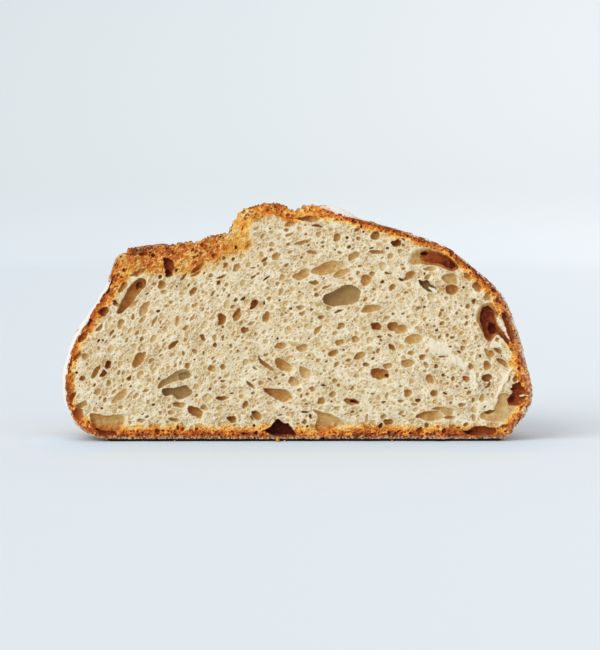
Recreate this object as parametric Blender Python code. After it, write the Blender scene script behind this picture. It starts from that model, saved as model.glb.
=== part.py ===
"""Half of a round sourdough loaf, lying on its flat base with the cut face towards -Y.

The loaf was round and was cut through the middle, across its score, so the cut face is a
full section of it: an upright left wall, a torn band where the score opened, the lifted
ear beside that, and a long smooth shoulder down to the right. Behind the cut the body
rounds away to the back like any round loaf. The large holes of the crumb are hollows in
the cut face.

Metres, +Z up. The origin is on the base, in the middle of the loaf's footprint.
"""

import math

import bmesh
import bpy
import numpy as np
from mathutils import Matrix, Vector

MM = 0.001
OBJECT_NAME = "sourdough_loaf"

# Driving dimensions of the round loaf
RADIUS = 116.5 * MM
DEPTH = 116.0 * MM
DOME_HEIGHT = 113.0 * MM
WAIST_HEIGHT = 25.0 * MM
DOME_POWER = 2.6
DOME_ROUNDNESS = 0.62
FLAT_BASE_SHARE = 0.80

# Outline of the cut face, from the left foot over the top to the right foot (x, z)
LEFT_WALL = [(-93.5, 0), (-104.5, 3.8), (-112, 10.7), (-115.7, 21), (-115.7, 34), (-112, 48),
             (-104.5, 61.6), (-95.5, 76.5), (-90.5, 91)]
LEFT_LIP = [(-86, 93.4), (-84, 96.8), (-80, 97.8)]
TORN_BAND = [(-67, 99), (-58, 99.3), (-56.5, 97.7), (-54.5, 99), (-46.5, 100.7), (-42.5, 102.8),
             (-36, 103.4)]
EAR = [(-34.5, 106.4), (-29.5, 114), (-24.5, 116.5), (-16, 118.2), (-9.5, 117.6), (-3, 115.2),
       (4, 117.4)]
SHOULDER = [(10.5, 116), (30.5, 109.9), (50.5, 104.2), (70.5, 96.8), (80.5, 90.2), (94, 79),
            (101, 72.4), (107.5, 57.4)]
RIGHT_WALL = [(112, 42.3), (116, 23.8), (112.5, 13.3), (105, 3.5), (99, 0)]
CUT_OUTLINE = LEFT_WALL + LEFT_LIP + TORN_BAND + EAR + SHOULDER + RIGHT_WALL

# How the body swells and how the score runs behind the cut
LEFT_SWELL = 0.040
RIGHT_SWELL = 0.006
SWELL_PEAK = 0.24
SCORE_MIDDLE = -45.0 * MM
SCORE_ZONE = (-92.0 * MM, -20.0 * MM)
SCORE_CRESCENT = 9.0 * MM
SCORE_END_WIDTH = 0.60
SCORE_FADE = (0.55, 0.97)
BAND_EDGES = (-88.0 * MM, -35.0 * MM)
CRAG_HEIGHT = 1.3 * MM
CRAG_WIDTHS = (8.3 * MM, 4.9 * MM)
LUMP_HEIGHT = 0.7 * MM
WALL_BEND = (17.0 * MM, 33.0 * MM)

# How finely the body is divided
OUTLINE_STEP = 4.4 * MM
SCORE_STEP = 2.2 * MM
BASE_COLUMNS = 20
ROWS = 20

# The large holes of the crumb as hollows, in steps of half a millimetre: across from the
# middle of the base, up from the level of the left foot, length, width, tilt in degrees, depth
HALF_MM = 0.5 * MM
HOLLOWS_LEFT = [
    (-130, 176, 18, 8, -68, 9), (-136, 156, 10, 9, 0, 5), (-159, 155, 13, 10, 40, 12),
    (-170, 141, 30, 7, 53, 6), (-175, 153, 15, 6, 50, 5), (-159, 168, 20, 6, 22, 4),
    (-194, 129, 12, 9, 20, 7), (-154, 132, 18, 9, 60, 4), (-215, 103, 13, 6, 47, 5),
    (-159, 82, 20, 10, 52, 6), (-190, 76, 10, 7, 80, 9), (-194, 67, 9, 6, 40, 8),
    (-203, 69, 15, 6, 62, 6), (-125, 97, 13, 6, 42, 7), (-114, 68, 17, 9, 10, 7),
    (-130, 62, 24, 7, 28, 4), (-131, 51, 14, 8, 5, 6), (-115, 51, 19, 12, -5, 7),
    (-119, 37, 14, 6, -8, 5), (-103, 30, 18, 10, -38, 8), (-178, 45, 22, 8, 43, 3),
    (-216, 36, 15, 7, 18, 5), (-218, 27, 13, 10, -45, 8), (-190, 18, 36, 21, -5, 12),
    (-77, 122, 13, 9, 75, 8), (-62, 127, 13, 9, 60, 6), (-45, 138, 11, 7, 55, 9),
    (-33, 125, 13, 7, 80, 5), (-101, 173, 17, 5, 38, 5),
]
HOLLOWS_MIDDLE = [
    (10, 223, 27, 6, 0, 5), (37, 205, 9, 8, 60, 5), (75, 207, 10, 9, 0, 7),
    (96, 200, 12, 8, -5, 10), (77, 191, 18, 4.5, -3, 5), (54, 187, 14, 8, 30, 4),
    (26, 177, 34, 10, 5, 3), (66, 163, 14, 11, 20, 5), (34, 144, 26, 15, 8, 10),
    (49, 151, 26, 15, -5, 8), (72, 135, 22, 9, 10, 4), (76, 117, 12.5, 8, -10, 9),
    (97, 116, 22, 12, -5, 7), (60, 88, 13.5, 8, 15, 5), (34, 90, 11, 8, 15, 5),
    (3, 95, 14, 8, 0, 3.5), (80, 70, 22, 11, -5, 7), (-15, 77, 22, 11, -32, 5),
    (-31, 79, 24, 7, -47, 6), (6, 70, 18, 10, -40, 3), (-5, 61, 13, 10, -35, 4),
    (-23, 49, 27, 10, -14, 6), (52, 42, 18, 7, -12, 8), (-77, 44, 13, 5, -3, 7),
    (-67, 23, 12, 6.5, -10, 8), (-42, 27, 12, 9, -30, 6), (-18, 14, 32, 14, -5, 16),
    (33, 21, 38, 19, -18, 7),
]
HOLLOWS_RIGHT = [
    (109, 168, 17, 8, 38, 5), (130, 187, 40, 14, -10, 13), (148, 179, 16, 11, -40, 9),
    (127, 159, 18, 7, -28, 9), (151, 158, 17, 13, -70, 5), (177, 157, 12, 8, -40, 5),
    (188, 121, 37, 19, -85, 16), (204, 108, 19, 6, -50, 7), (203, 82, 16, 6, -40, 5),
    (186, 66, 9, 8, 0, 6), (114, 105, 21, 11, 0, 3), (92, 96, 12, 5, -38, 6),
    (108, 81, 16, 8, 0, 4), (130, 65, 13, 8, -55, 4), (134, 51, 9.5, 7, 0, 5.5),
    (108, 51, 10.5, 8, 0, 5), (89, 22, 11, 7, -10, 6), (133, 30, 26, 9, 5, 5),
    (191, 31, 22, 8, 8, 6), (205, 40, 22, 14, 35, 7), (216, 57, 12, 8, 10, 8),
    (213, 45, 12, 10, 30, 9), (181, 14, 34, 8, 2, 11),
]
HOLLOWS = HOLLOWS_LEFT + HOLLOWS_MIDDLE + HOLLOWS_RIGHT
BASE_RISE = 4 / 385
LEFT_FOOT_ACROSS = -187
HOLLOW_SIDES = [(24, 14), (15, 11), (0, 8)]
HOLLOW_SET_BACK = 0.2
HOLLOW_UNEVENNESS = 0.12


def smoothstep(low, high, value):
    """0 below low, 1 above high, and 3s^2 - 2s^3 of the share between."""
    share = np.clip((value - low) / (high - low), 0, 1)
    return share * share * (3 - 2 * share)


def curve_through(points, steps=12):
    """Catmull-Rom curve: a cubic between neighbours, its slope at each point half the step
    from the point before to the point after."""
    points = np.array(points, float)
    padded = np.vstack([2 * points[0] - points[1], points, 2 * points[-1] - points[-2]])
    before, start, end, after = padded[:-3], padded[1:-2], padded[2:-1], padded[3:]
    share = np.linspace(0, 1, steps, endpoint=False)[:, None, None]
    cubic = 0.5 * (2 * start + (end - before) * share
                   + (2 * before - 5 * start + 4 * end - after) * share ** 2
                   + (3 * start - before - 3 * end + after) * share ** 3)
    return np.vstack([cubic.transpose(1, 0, 2).reshape(-1, 2), points[-1]])


def cut_outline():
    """Points along the cut outline, spaced by OUTLINE_STEP and closer over the score."""
    dense = curve_through(CUT_OUTLINE) * MM
    middle = (dense[1:] + dense[:-1]) / 2
    length = np.linalg.norm(np.diff(dense, axis=0), axis=1)
    over_score = (middle[:, 1] > 85 * MM) & (middle[:, 0] < 15 * MM)
    steps = length / np.where(over_score, SCORE_STEP, OUTLINE_STEP)
    travelled = np.concatenate([[0], np.cumsum(steps)])
    at = np.linspace(0, travelled[-1], round(travelled[-1]) + 1)
    return np.interp(at, travelled, dense[:, 0]), np.interp(at, travelled, dense[:, 1])


def round_body_height(across, back, upper):
    """Height of the plain round loaf: with r the share of the radius, the top is
    waist + (dome - waist) (1 - r^p)^k and the underside a quarter round outside the flat base."""
    r = np.clip(np.hypot(across / RADIUS, back), 0, 1)
    top = WAIST_HEIGHT + (DOME_HEIGHT - WAIST_HEIGHT) * (1 - r ** DOME_POWER) ** DOME_ROUNDNESS
    outside_base = np.clip((r - FLAT_BASE_SHARE) / (1 - FLAT_BASE_SHARE), 0, 1)
    underside = WAIST_HEIGHT * (1 - np.sqrt(1 - outside_base ** 2))
    return underside + (top - underside) * upper


def follow_score(cut_x, back):
    """Where a line of the loaf that starts at cut_x runs behind the cut, before the body
    rounds in: near the score the lines draw together and bend into a crescent."""
    narrowing = 1 - (1 - SCORE_END_WIDTH) * smoothstep(0, 0.65, back)
    left_of_zone = 1 - smoothstep(-RADIUS, SCORE_ZONE[0], cut_x)
    right_of_zone = smoothstep(SCORE_ZONE[1], RADIUS, cut_x)
    near_score = (1 - left_of_zone) * (1 - right_of_zone)
    return cut_x + near_score * ((cut_x - SCORE_MIDDLE) * (narrowing - 1) + SCORE_CRESCENT * back ** 2)


def crags(place, back):
    """Torn ridges that run back along the score band: a broad and a narrow wave across it
    that wander sideways, break up along their length and end at the edges of the band."""
    left_edge, right_edge = BAND_EDGES
    wander = 2.0 * np.sin(9 * back + place / (11 * MM))
    broad = np.sin(math.tau * place / CRAG_WIDTHS[0] + wander)
    narrow = np.sin(math.tau * place / CRAG_WIDTHS[1] - 1.7 * wander)
    broken = 0.65 + 0.35 * np.sin(23 * back + place / (6 * MM))
    past_left = smoothstep(left_edge, left_edge + 8 * MM, place)
    past_right = smoothstep(right_edge - 4 * MM, right_edge, place)
    return CRAG_HEIGHT * (0.6 * broad + 0.42 * narrow) * broken * past_left * (1 - past_right)


def lumps(x, y, z):
    """The gentle unevenness of a hand-shaped loaf: three crossing waves."""
    return LUMP_HEIGHT / 2 * (np.sin(x / (13 * MM) + 2 * np.sin(z / (21 * MM)))
                              + np.sin(y / (11 * MM) + x / (29 * MM) + 1)
                              + np.sin(z / (9 * MM) - y / (23 * MM) + 2))


def body_sections():
    """x, y and z of every section, one row for each, as grids of rows by points."""
    arch_x, arch_z = cut_outline()
    base_x = np.linspace(arch_x[-1], arch_x[0], BASE_COLUMNS + 2)[1:-1]
    cut_x = np.concatenate([arch_x, base_x])[None, :]
    cut_z = np.concatenate([arch_z, np.zeros(BASE_COLUMNS)])[None, :]
    angle = np.linspace(0, math.pi / 2, ROWS + 1)[:-1, None]
    back = np.sin(angle)
    across = follow_score(cut_x, back) * np.cos(angle)
    upper = smoothstep(*WALL_BEND, cut_z)
    rest = cut_z - round_body_height(cut_x, 0, upper)
    fading = 1 - smoothstep(*SCORE_FADE, back)
    swell = np.where(cut_x < 0, LEFT_SWELL, RIGHT_SWELL) * smoothstep(0, 60 * MM, np.abs(cut_x))
    swell = swell * back / SWELL_PEAK * np.exp(1 - back / SWELL_PEAK)
    x = across * (1 + swell)
    y = DEPTH * back + np.zeros_like(x)
    z = round_body_height(across, back, upper) + rest * fading
    behind = smoothstep(0, 0.1, back)
    z += behind * smoothstep(12 * MM, 40 * MM, cut_z) * (fading * crags(cut_x, back) + lumps(x, y, z))
    z = np.where(cut_z > 0, np.maximum(z, 0), z)
    return x, y, z


def move_to_footprint(x, y, z):
    """How far the body moves so that the origin is under the middle of it."""
    return Vector((-(x.min() + x.max()) / 2, -(y.min() + DEPTH) / 2, -z.min()))


def new_material(name, colour, roughness):
    material = bpy.data.materials.new(name)
    material.use_nodes = True
    shader = material.node_tree.nodes["Principled BSDF"]
    shader.inputs["Base Color"].default_value = (*colour, 1)
    shader.inputs["Roughness"].default_value = roughness
    shader.inputs["Metallic"].default_value = 0
    return material


def new_object(name, mesh, collection, *materials):
    thing = bpy.data.objects.new(name, mesh)
    for material in materials:
        mesh.materials.append(material)
    collection.objects.link(thing)
    return thing


def loft_body(x, y, z, move):
    """Closed body: the sections joined ring to ring, the cut face across the first ring,
    and the last ring drawn to one point at the middle of the back."""
    rows, columns = x.shape
    points = np.stack([x, y, z], axis=-1).reshape(-1, 3)
    back_point = (0, DEPTH, WAIST_HEIGHT)
    ring = np.arange(columns)
    after = (ring + 1) % columns
    faces = [ring[::-1].tolist()]
    for row in range(rows - 1):
        near, far = row * columns, (row + 1) * columns
        faces += np.stack([near + ring, near + after, far + after, far + ring], axis=1).tolist()
    last = (rows - 1) * columns
    faces += [(last + i, last + j, rows * columns) for i, j in zip(ring.tolist(), after.tolist())]
    mesh = bpy.data.meshes.new(OBJECT_NAME)
    mesh.from_pydata((np.vstack([points, back_point]) + np.array(move)).tolist(), [], faces)
    model = bmesh.new()
    model.from_mesh(mesh)
    bmesh.ops.recalc_face_normals(model, faces=model.faces[:])
    model.to_mesh(mesh)
    model.free()
    return mesh


def hollow_mesh(number, hollow, move):
    """An uneven ellipsoid set a little behind the cut face, where it opens as a rounded hole."""
    across, up, length, width, tilt, depth = hollow
    level = up - BASE_RISE * (across - LEFT_FOOT_ACROSS)
    centre = Vector((across * HALF_MM, HOLLOW_SET_BACK * depth * HALF_MM, level * HALF_MM)) + move
    grown = 1 / math.sqrt(1 - (HOLLOW_SET_BACK / (1 - HOLLOW_SET_BACK)) ** 2)
    half_sizes = Vector((length / 2 * grown, (1 - HOLLOW_SET_BACK) * depth, width / 2 * grown)) * HALF_MM
    model = bmesh.new()
    sides = next(count for least, count in HOLLOW_SIDES if length >= least)
    bmesh.ops.create_uvsphere(model, u_segments=sides, v_segments=5, radius=1,
                              matrix=Matrix.Rotation(math.pi / 2, 4, "X"))
    for vertex in model.verts:
        x, y, z = vertex.co
        bumps = (math.sin(3.1 * x + number), math.sin(2.7 * z + 2.3 * number),
                 math.sin(3.7 * y + 1.1 * number))
        vertex.co *= 1 + HOLLOW_UNEVENNESS * sum(bumps) / 3
    turn = Matrix.Rotation(-math.radians(tilt), 4, "Y")
    place = Matrix.Translation(centre) @ turn @ Matrix.Diagonal((*half_sizes, 1))
    bmesh.ops.transform(model, matrix=place, verts=model.verts[:])
    mesh = bpy.data.meshes.new(f"hollow_{number:02d}")
    model.to_mesh(mesh)
    model.free()
    return mesh


def cut_hollows(loaf, cutters, crumb, move):
    """All the hollows are cut from the body by one Boolean on their collection."""
    for number, hollow in enumerate(HOLLOWS):
        cutter = new_object(f"hollow_{number:02d}", hollow_mesh(number, hollow, move), cutters, crumb)
        cutter.hide_render = True
        cutter.display_type = "WIRE"
    cut = loaf.modifiers.new("crumb_hollows", "BOOLEAN")
    cut.operation = "DIFFERENCE"
    cut.operand_type = "COLLECTION"
    cut.collection = cutters
    cut.solver = "EXACT"


def build():
    for thing in list(bpy.data.objects):
        bpy.data.objects.remove(thing)
    parts = bpy.data.collections.new(OBJECT_NAME)
    cutters = bpy.data.collections.new("hollow_cutters")
    bpy.context.scene.collection.children.link(parts)
    bpy.context.scene.collection.children.link(cutters)
    crust = new_material("baked_crust", (0.42, 0.20, 0.07), 0.8)
    crumb = new_material("open_crumb", (0.80, 0.68, 0.46), 0.75)
    x, y, z = body_sections()
    move = move_to_footprint(x, y, z)
    loaf = new_object(OBJECT_NAME, loft_body(x, y, z, move), parts, crust, crumb)
    loaf.data.polygons[0].material_index = 1
    loaf.data.shade_smooth()
    loaf.data.set_sharp_from_angle(angle=math.radians(40))
    cut_hollows(loaf, cutters, crumb, move)


build()
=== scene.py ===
"""Half of a round sourdough loaf, cut side to the front, on a pale studio floor.

The cut face is a fine grid across the cut outline. Every hole of the crumb is pressed into it:
the ones that can be told apart were read from the photo, and seeded small ones fill the
crumb between them. Behind it the crust is a grid that follows the body's own formula, with the torn score,
blisters and flour. Lengths in the formulas are millimetres, and meshes are made in metres.
"""

import itertools
import math

import bpy
import numpy as np
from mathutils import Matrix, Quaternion, Vector


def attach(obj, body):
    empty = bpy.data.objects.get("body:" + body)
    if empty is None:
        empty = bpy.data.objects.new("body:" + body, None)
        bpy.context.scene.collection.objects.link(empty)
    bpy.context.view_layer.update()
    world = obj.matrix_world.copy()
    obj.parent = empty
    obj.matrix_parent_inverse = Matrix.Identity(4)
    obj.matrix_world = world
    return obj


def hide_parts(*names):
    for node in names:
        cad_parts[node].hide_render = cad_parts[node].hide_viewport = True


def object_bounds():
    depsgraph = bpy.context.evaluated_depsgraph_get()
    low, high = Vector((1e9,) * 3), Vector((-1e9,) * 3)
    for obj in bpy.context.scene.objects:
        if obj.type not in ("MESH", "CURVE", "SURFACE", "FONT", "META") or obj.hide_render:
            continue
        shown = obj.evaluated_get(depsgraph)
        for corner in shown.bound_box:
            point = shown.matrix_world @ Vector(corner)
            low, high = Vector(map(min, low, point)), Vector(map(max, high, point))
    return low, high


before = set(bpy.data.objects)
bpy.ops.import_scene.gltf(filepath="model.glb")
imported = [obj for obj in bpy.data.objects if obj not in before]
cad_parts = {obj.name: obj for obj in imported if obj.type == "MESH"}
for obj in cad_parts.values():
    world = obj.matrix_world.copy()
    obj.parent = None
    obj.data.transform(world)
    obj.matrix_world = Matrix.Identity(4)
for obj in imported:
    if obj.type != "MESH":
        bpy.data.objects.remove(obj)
cad_low, cad_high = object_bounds()

MM = 0.001
NODE = "sourdough_loaf"

# Driving dimensions of the round loaf
RADIUS = 116.5
DEPTH = 116.0
DOME_HEIGHT = 113.0
WAIST_HEIGHT = 25.0
DOME_POWER = 2.6
DOME_ROUNDNESS = 0.62
FLAT_BASE_SHARE = 0.80

# Outline of the cut face, from the left foot over the top to the right foot (x, z)
LEFT_WALL = [(-93.5, 0), (-104.5, 3.8), (-112, 10.7), (-115.7, 21), (-115.7, 34), (-112, 48),
             (-104.5, 61.6), (-95.5, 76.5), (-90.5, 91)]
LEFT_LIP = [(-86, 93), (-84, 95.4), (-80, 96.2)]
TORN_BAND = [(-67, 97.4), (-58, 98.8), (-56.5, 97.7), (-54.5, 99), (-46.5, 100.7), (-42.5, 102.8),
             (-36, 103.4)]
EAR = [(-34.5, 106.4), (-29.5, 114), (-24.5, 116.5), (-16, 118.2), (-9.5, 117.6), (-3, 115.2),
       (4, 117.4)]
SHOULDER = [(10.5, 116), (30.5, 109.9), (50.5, 104.5), (70.5, 97.8), (80.5, 91), (94, 79.6),
            (101, 72.4), (107.5, 57.4)]
RIGHT_WALL = [(112, 42.3), (116, 23.8), (112.5, 13.3), (105, 3.5), (99, 0)]
CUT_OUTLINE = LEFT_WALL + LEFT_LIP + TORN_BAND + EAR + SHOULDER + RIGHT_WALL

# How thick the baked zone is under each point of the outline, and how ragged its edge is
BAKED_LEFT_WALL = [8, 8, 7, 6.5, 6.5, 6.5, 7.5, 9, 12]
BAKED_LEFT_LIP = [13, 14, 15]
BAKED_TORN_BAND = [16, 17, 17, 17, 16, 15, 13]
BAKED_EAR = [11, 10, 8, 7, 7, 7.5, 7]
BAKED_SHOULDER = [6.5, 5.5, 6, 6.5, 7, 8, 9, 10]
BAKED_RIGHT_WALL = [10, 10, 9, 8, 7]
BAKED_WIDTHS = (BAKED_LEFT_WALL + BAKED_LEFT_LIP + BAKED_TORN_BAND + BAKED_EAR + BAKED_SHOULDER
                + BAKED_RIGHT_WALL)
BAKED_BASE = 9.0

# How the body swells and how the score runs behind the cut
LEFT_SWELL = 0.030
RIGHT_SWELL = 0.006
SWELL_PEAK = 0.24
SCORE_MIDDLE = -45.0
SCORE_ZONE = (-92.0, -20.0)
SCORE_CRESCENT = 9.0
SCORE_END_WIDTH = 0.60
SCORE_FADE = (0.55, 0.97)
BAND_EDGES = (-88.0, -35.0)
CRAG_HEIGHT = 1.3
CRAG_WIDTHS = (8.3, 4.9)
LUMP_HEIGHT = 0.7
SHOULDER_LIFT = 3.5
LIFT_MIDDLE = 19
LIFT_REACH = 8
FOOT_BACK = 1.3
FOOT_HEIGHT = 1.5
TUCK_IN = 0.7
TUCK_BACK = 0.5
TORN_DROP = 1.7
WALL_BEND = (17.0, 33.0)

# The holes, in steps of half a millimetre: across from the middle of the base, up from the
# level of the left foot. Rounded ones then have length, width, tilt in degrees, depth
HALF = 0.5
BASE_RISE = 4 / 385
LEFT_FOOT_ACROSS = -187
HOLES_LEFT = [
    (-136, 156, 10, 9, 0, 5), (-175, 153, 15, 6, 50, 5), (-159, 168, 20, 6, 22, 4),
    (-194, 129, 12, 9, 20, 8), (-154, 132, 18, 9, 60, 4), (-177, 117, 11, 7, 75, 4),
    (-198, 113, 10, 5, 42, 5), (-215, 103, 14, 7, 47, 6), (-220, 84, 11, 6, 50, 5),
    (-212, 84, 8, 8, 0, 3), (-159, 82, 20, 10, 52, 6), (-190, 76, 10, 7, 80, 9),
    (-194, 68, 9, 6, 40, 8), (-202, 69, 15, 6, 62, 6), (-125, 97, 13, 6, 42, 7),
    (-111, 76, 6.5, 6.5, 0, 5), (-114, 66, 16, 8, 10, 7), (-119, 37, 14, 6, -8, 5),
    (-103, 30, 18, 10, -38, 8), (-178, 45, 22, 8, 43, 3), (-216, 36, 15, 7, 18, 5),
    (-219, 27, 14, 11, -45, 6), (-157, 21, 9, 4, -12, 4), (-77, 122, 13, 9, 75, 8),
    (-62, 127, 13, 9, 60, 6), (-45, 138, 11, 7, 55, 9), (-33, 125, 13, 7, 80, 5),
    (-96, 104, 10, 4.5, -65, 6), (-62, 174, 10, 8, 30, 4), (-23, 186, 11, 7, 20, 4),
    (-101, 173, 17, 5, 38, 5), (-54, 112, 9, 7, 0, 6), (-159, 155, 9, 8, 40, 12),
    (-130, 167, 9, 7, -60, 11),
]
HOLES_MIDDLE = [
    (10, 223, 27, 6, 0, 5), (-9, 218, 13, 6, 10, 4), (37, 205, 9, 8, 60, 5), (75, 207, 10, 9, 0, 7),
    (96, 200, 12, 8, -5, 10), (77, 191, 18, 4.5, -3, 5), (54, 187, 14, 8, 30, 4),
    (30, 175, 36, 14, 12, 3.5), (3, 168, 19, 11, 20, 4), (42, 170, 19, 8, 15, 3.5),
    (66, 163, 13, 11, 20, 5), (72, 169, 7, 6, 20, 4), (72, 135, 22, 9, 10, 4),
    (76, 117, 12.5, 8, -10, 9), (93, 117, 12, 10, 10, 7), (101, 115, 18, 10, -8, 4),
    (114, 105, 21, 11, 0, 3), (92, 96, 12, 5, -38, 6), (60, 88, 13.5, 8, 15, 5),
    (34, 90, 11, 8, 15, 5), (40, 101, 11, 6, 15, 4), (41, 117, 9, 7, 50, 5), (3, 95, 14, 8, 0, 3.5),
    (-18, 97, 14, 8, 0, 4), (18, 113, 12, 6, 55, 4), (80, 70, 22, 11, -5, 7), (87, 68, 4, 4, 0, 10),
    (88, 78, 10.5, 7, 5, 4), (108, 81, 16, 8, 0, 4), (-15, 77, 22, 11, -32, 5),
    (6, 70, 18, 10, -40, 3), (-5, 61, 13, 10, -35, 4), (52, 42, 18, 7, -12, 6),
    (55, 42, 10, 4, -15, 12), (22, 42, 9, 8, 0, 5), (33, 49, 8, 7, 0, 4), (-77, 44, 13, 5, -3, 7),
    (-67, 23, 12, 6.5, -10, 8), (-42, 27, 12, 9, -30, 6), (-45, 30, 6, 3, -20, 9),
]
HOLES_RIGHT = [
    (109, 168, 15, 8, 38, 5), (101, 164, 7, 3, -15, 8), (92, 156, 9, 6, 45, 5),
    (130, 175, 14, 5, -5, 3), (177, 157, 12, 9, -40, 5), (187, 147, 10, 8, -30, 4),
    (167, 167, 12, 6, -45, 4), (124, 190, 11, 4, 5, 13), (192, 116, 14, 9, -80, 15),
    (208, 124, 22, 5, -70, 6), (203, 82, 16, 6, -40, 5), (188, 90, 16, 5, -65, 4),
    (130, 65, 13, 8, -55, 4), (134, 51, 9.5, 7, 0, 5.5), (108, 51, 10.5, 8, 0, 5),
    (89, 22, 11, 7, -10, 6), (84, 27, 8, 6, 0, 4), (166, 66, 10, 6, -35, 5), (182, 47, 10, 6, 80, 3),
    (190, 33, 13, 4, 8, 8), (217, 60, 11, 6, 10, 10), (213, 45, 9, 8, 30, 12),
    (120, 14, 8, 6, 40, 6), (172, 13, 10, 3, 5, 12), (191, 91, 9, 6, -60, 5), (187, 79, 11, 8, -70, 5),
    (186, 68, 10, 6, 30, 3), (171, 78, 9, 6, -50, 4),
]

# Small holes as they were read in the photo: pixels across and down, each of which is half a
# millimetre, then length, width, tilt in degrees and depth as above
PHOTO_MIDDLE = 299
PHOTO_FOOT_LEVEL = 442
SMALL_HOLES_LEFT = [
    (161, 278, 5, 4, 0, 7), (125, 272, 4, 5, 0, 7), (123, 279, 5, 3, 0, 5), (109, 292, 6, 7, 0, 7),
    (154, 257, 5, 4, 45, 7), (143, 256, 6, 3, 0, 5), (117, 305, 6, 8, 60, 6),
    (135, 305, 13, 4.5, 38, 4), (159, 312, 4, 3.5, 0, 7), (184, 278, 12, 3, 50, 5),
    (189, 286, 5, 3, 60, 4), (196, 275, 13, 3, 28, 4), (165, 293, 8, 5, 0, 3),
    (172, 303, 6, 4, 0, 3), (168, 307, 5, 4, 0, 3), (134, 318, 7, 4, 80, 4),
    (222, 277, 11, 3, 22, 5), (211, 276, 6, 4, 0, 4), (227, 285, 6, 4, 0, 3), (213, 294, 7, 3, 55, 4),
    (218, 296, 4, 3, 0, 3), (229, 296, 3, 5, 0, 4), (236, 300, 4, 4, 0, 6), (233, 307, 6, 5, 0, 4),
    (226, 266, 7, 6, 45, 4), (233, 260, 4, 5, 0, 5), (224, 259, 5, 4, 0, 5), (215, 257, 8, 6, 0, 5),
    (236, 248, 4, 4, 0, 7), (205, 408, 10, 6, -20, 4), (175, 420, 14, 4, -12, 5),
    (168, 422, 4, 2, 0, 4), (178, 428, 3, 5, 0, 7), (158, 432, 6, 7, 0, 6), (197, 429, 4, 3, 0, 6),
    (197, 387, 9, 7, 0, 2), (232, 393, 5, 2, 0, 5), (235, 425, 4, 4, 0, 3),
    (213, 369, 10, 7, -35, 4), (223, 367, 6, 6, -45, 5), (223, 381, 6, 3, 0, 5),
    (224, 387, 8, 4, 0, 3), (208, 398, 12, 10, 0, 2), (220, 408, 8, 4, 0, 2), (172, 413, 8, 5, 0, 3),
    (161, 413, 5, 4, 0, 3), (84, 380, 6, 6, 0, 6), (78, 374, 3, 2.5, 0, 8), (74, 397, 11, 5, 55, 6),
    (91, 323, 8, 3, 55, 8), (113, 334, 8, 3.5, 58, 5), (100, 342, 5, 2.5, 60, 7),
    (143, 340, 4.5, 4.5, 0, 5), (138, 334, 7, 4, 45, 4), (155, 322, 13, 4, 58, 4),
    (144, 320, 11, 5, 45, 3), (215, 338, 5, 9, 0, 3), (223, 338, 3, 7, 0, 4), (215, 345, 5, 6, 0, 6),
    (231, 346, 4, 5, 0, 4), (238, 351, 4, 4, 0, 4), (195, 352, 5, 7, 0, 4), (204, 353, 4, 4, 0, 4),
    (184, 354, 4, 5, 0, 4), (223, 327, 3, 3, 0, 5), (193, 318, 9, 4, 55, 3), (178, 322, 5, 12, 0, 3),
    (137, 396, 8, 5, 50, 3), (147, 391, 7, 4, 20, 4), (154, 405, 4, 3, 0, 6), (131, 423, 5, 4, 0, 3),
    (110, 384, 5, 8, 0, 4), (106, 401, 4, 6, 0, 4), (103, 409, 3, 3, 0, 5), (122, 408, 6, 5, 0, 3),
]
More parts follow.
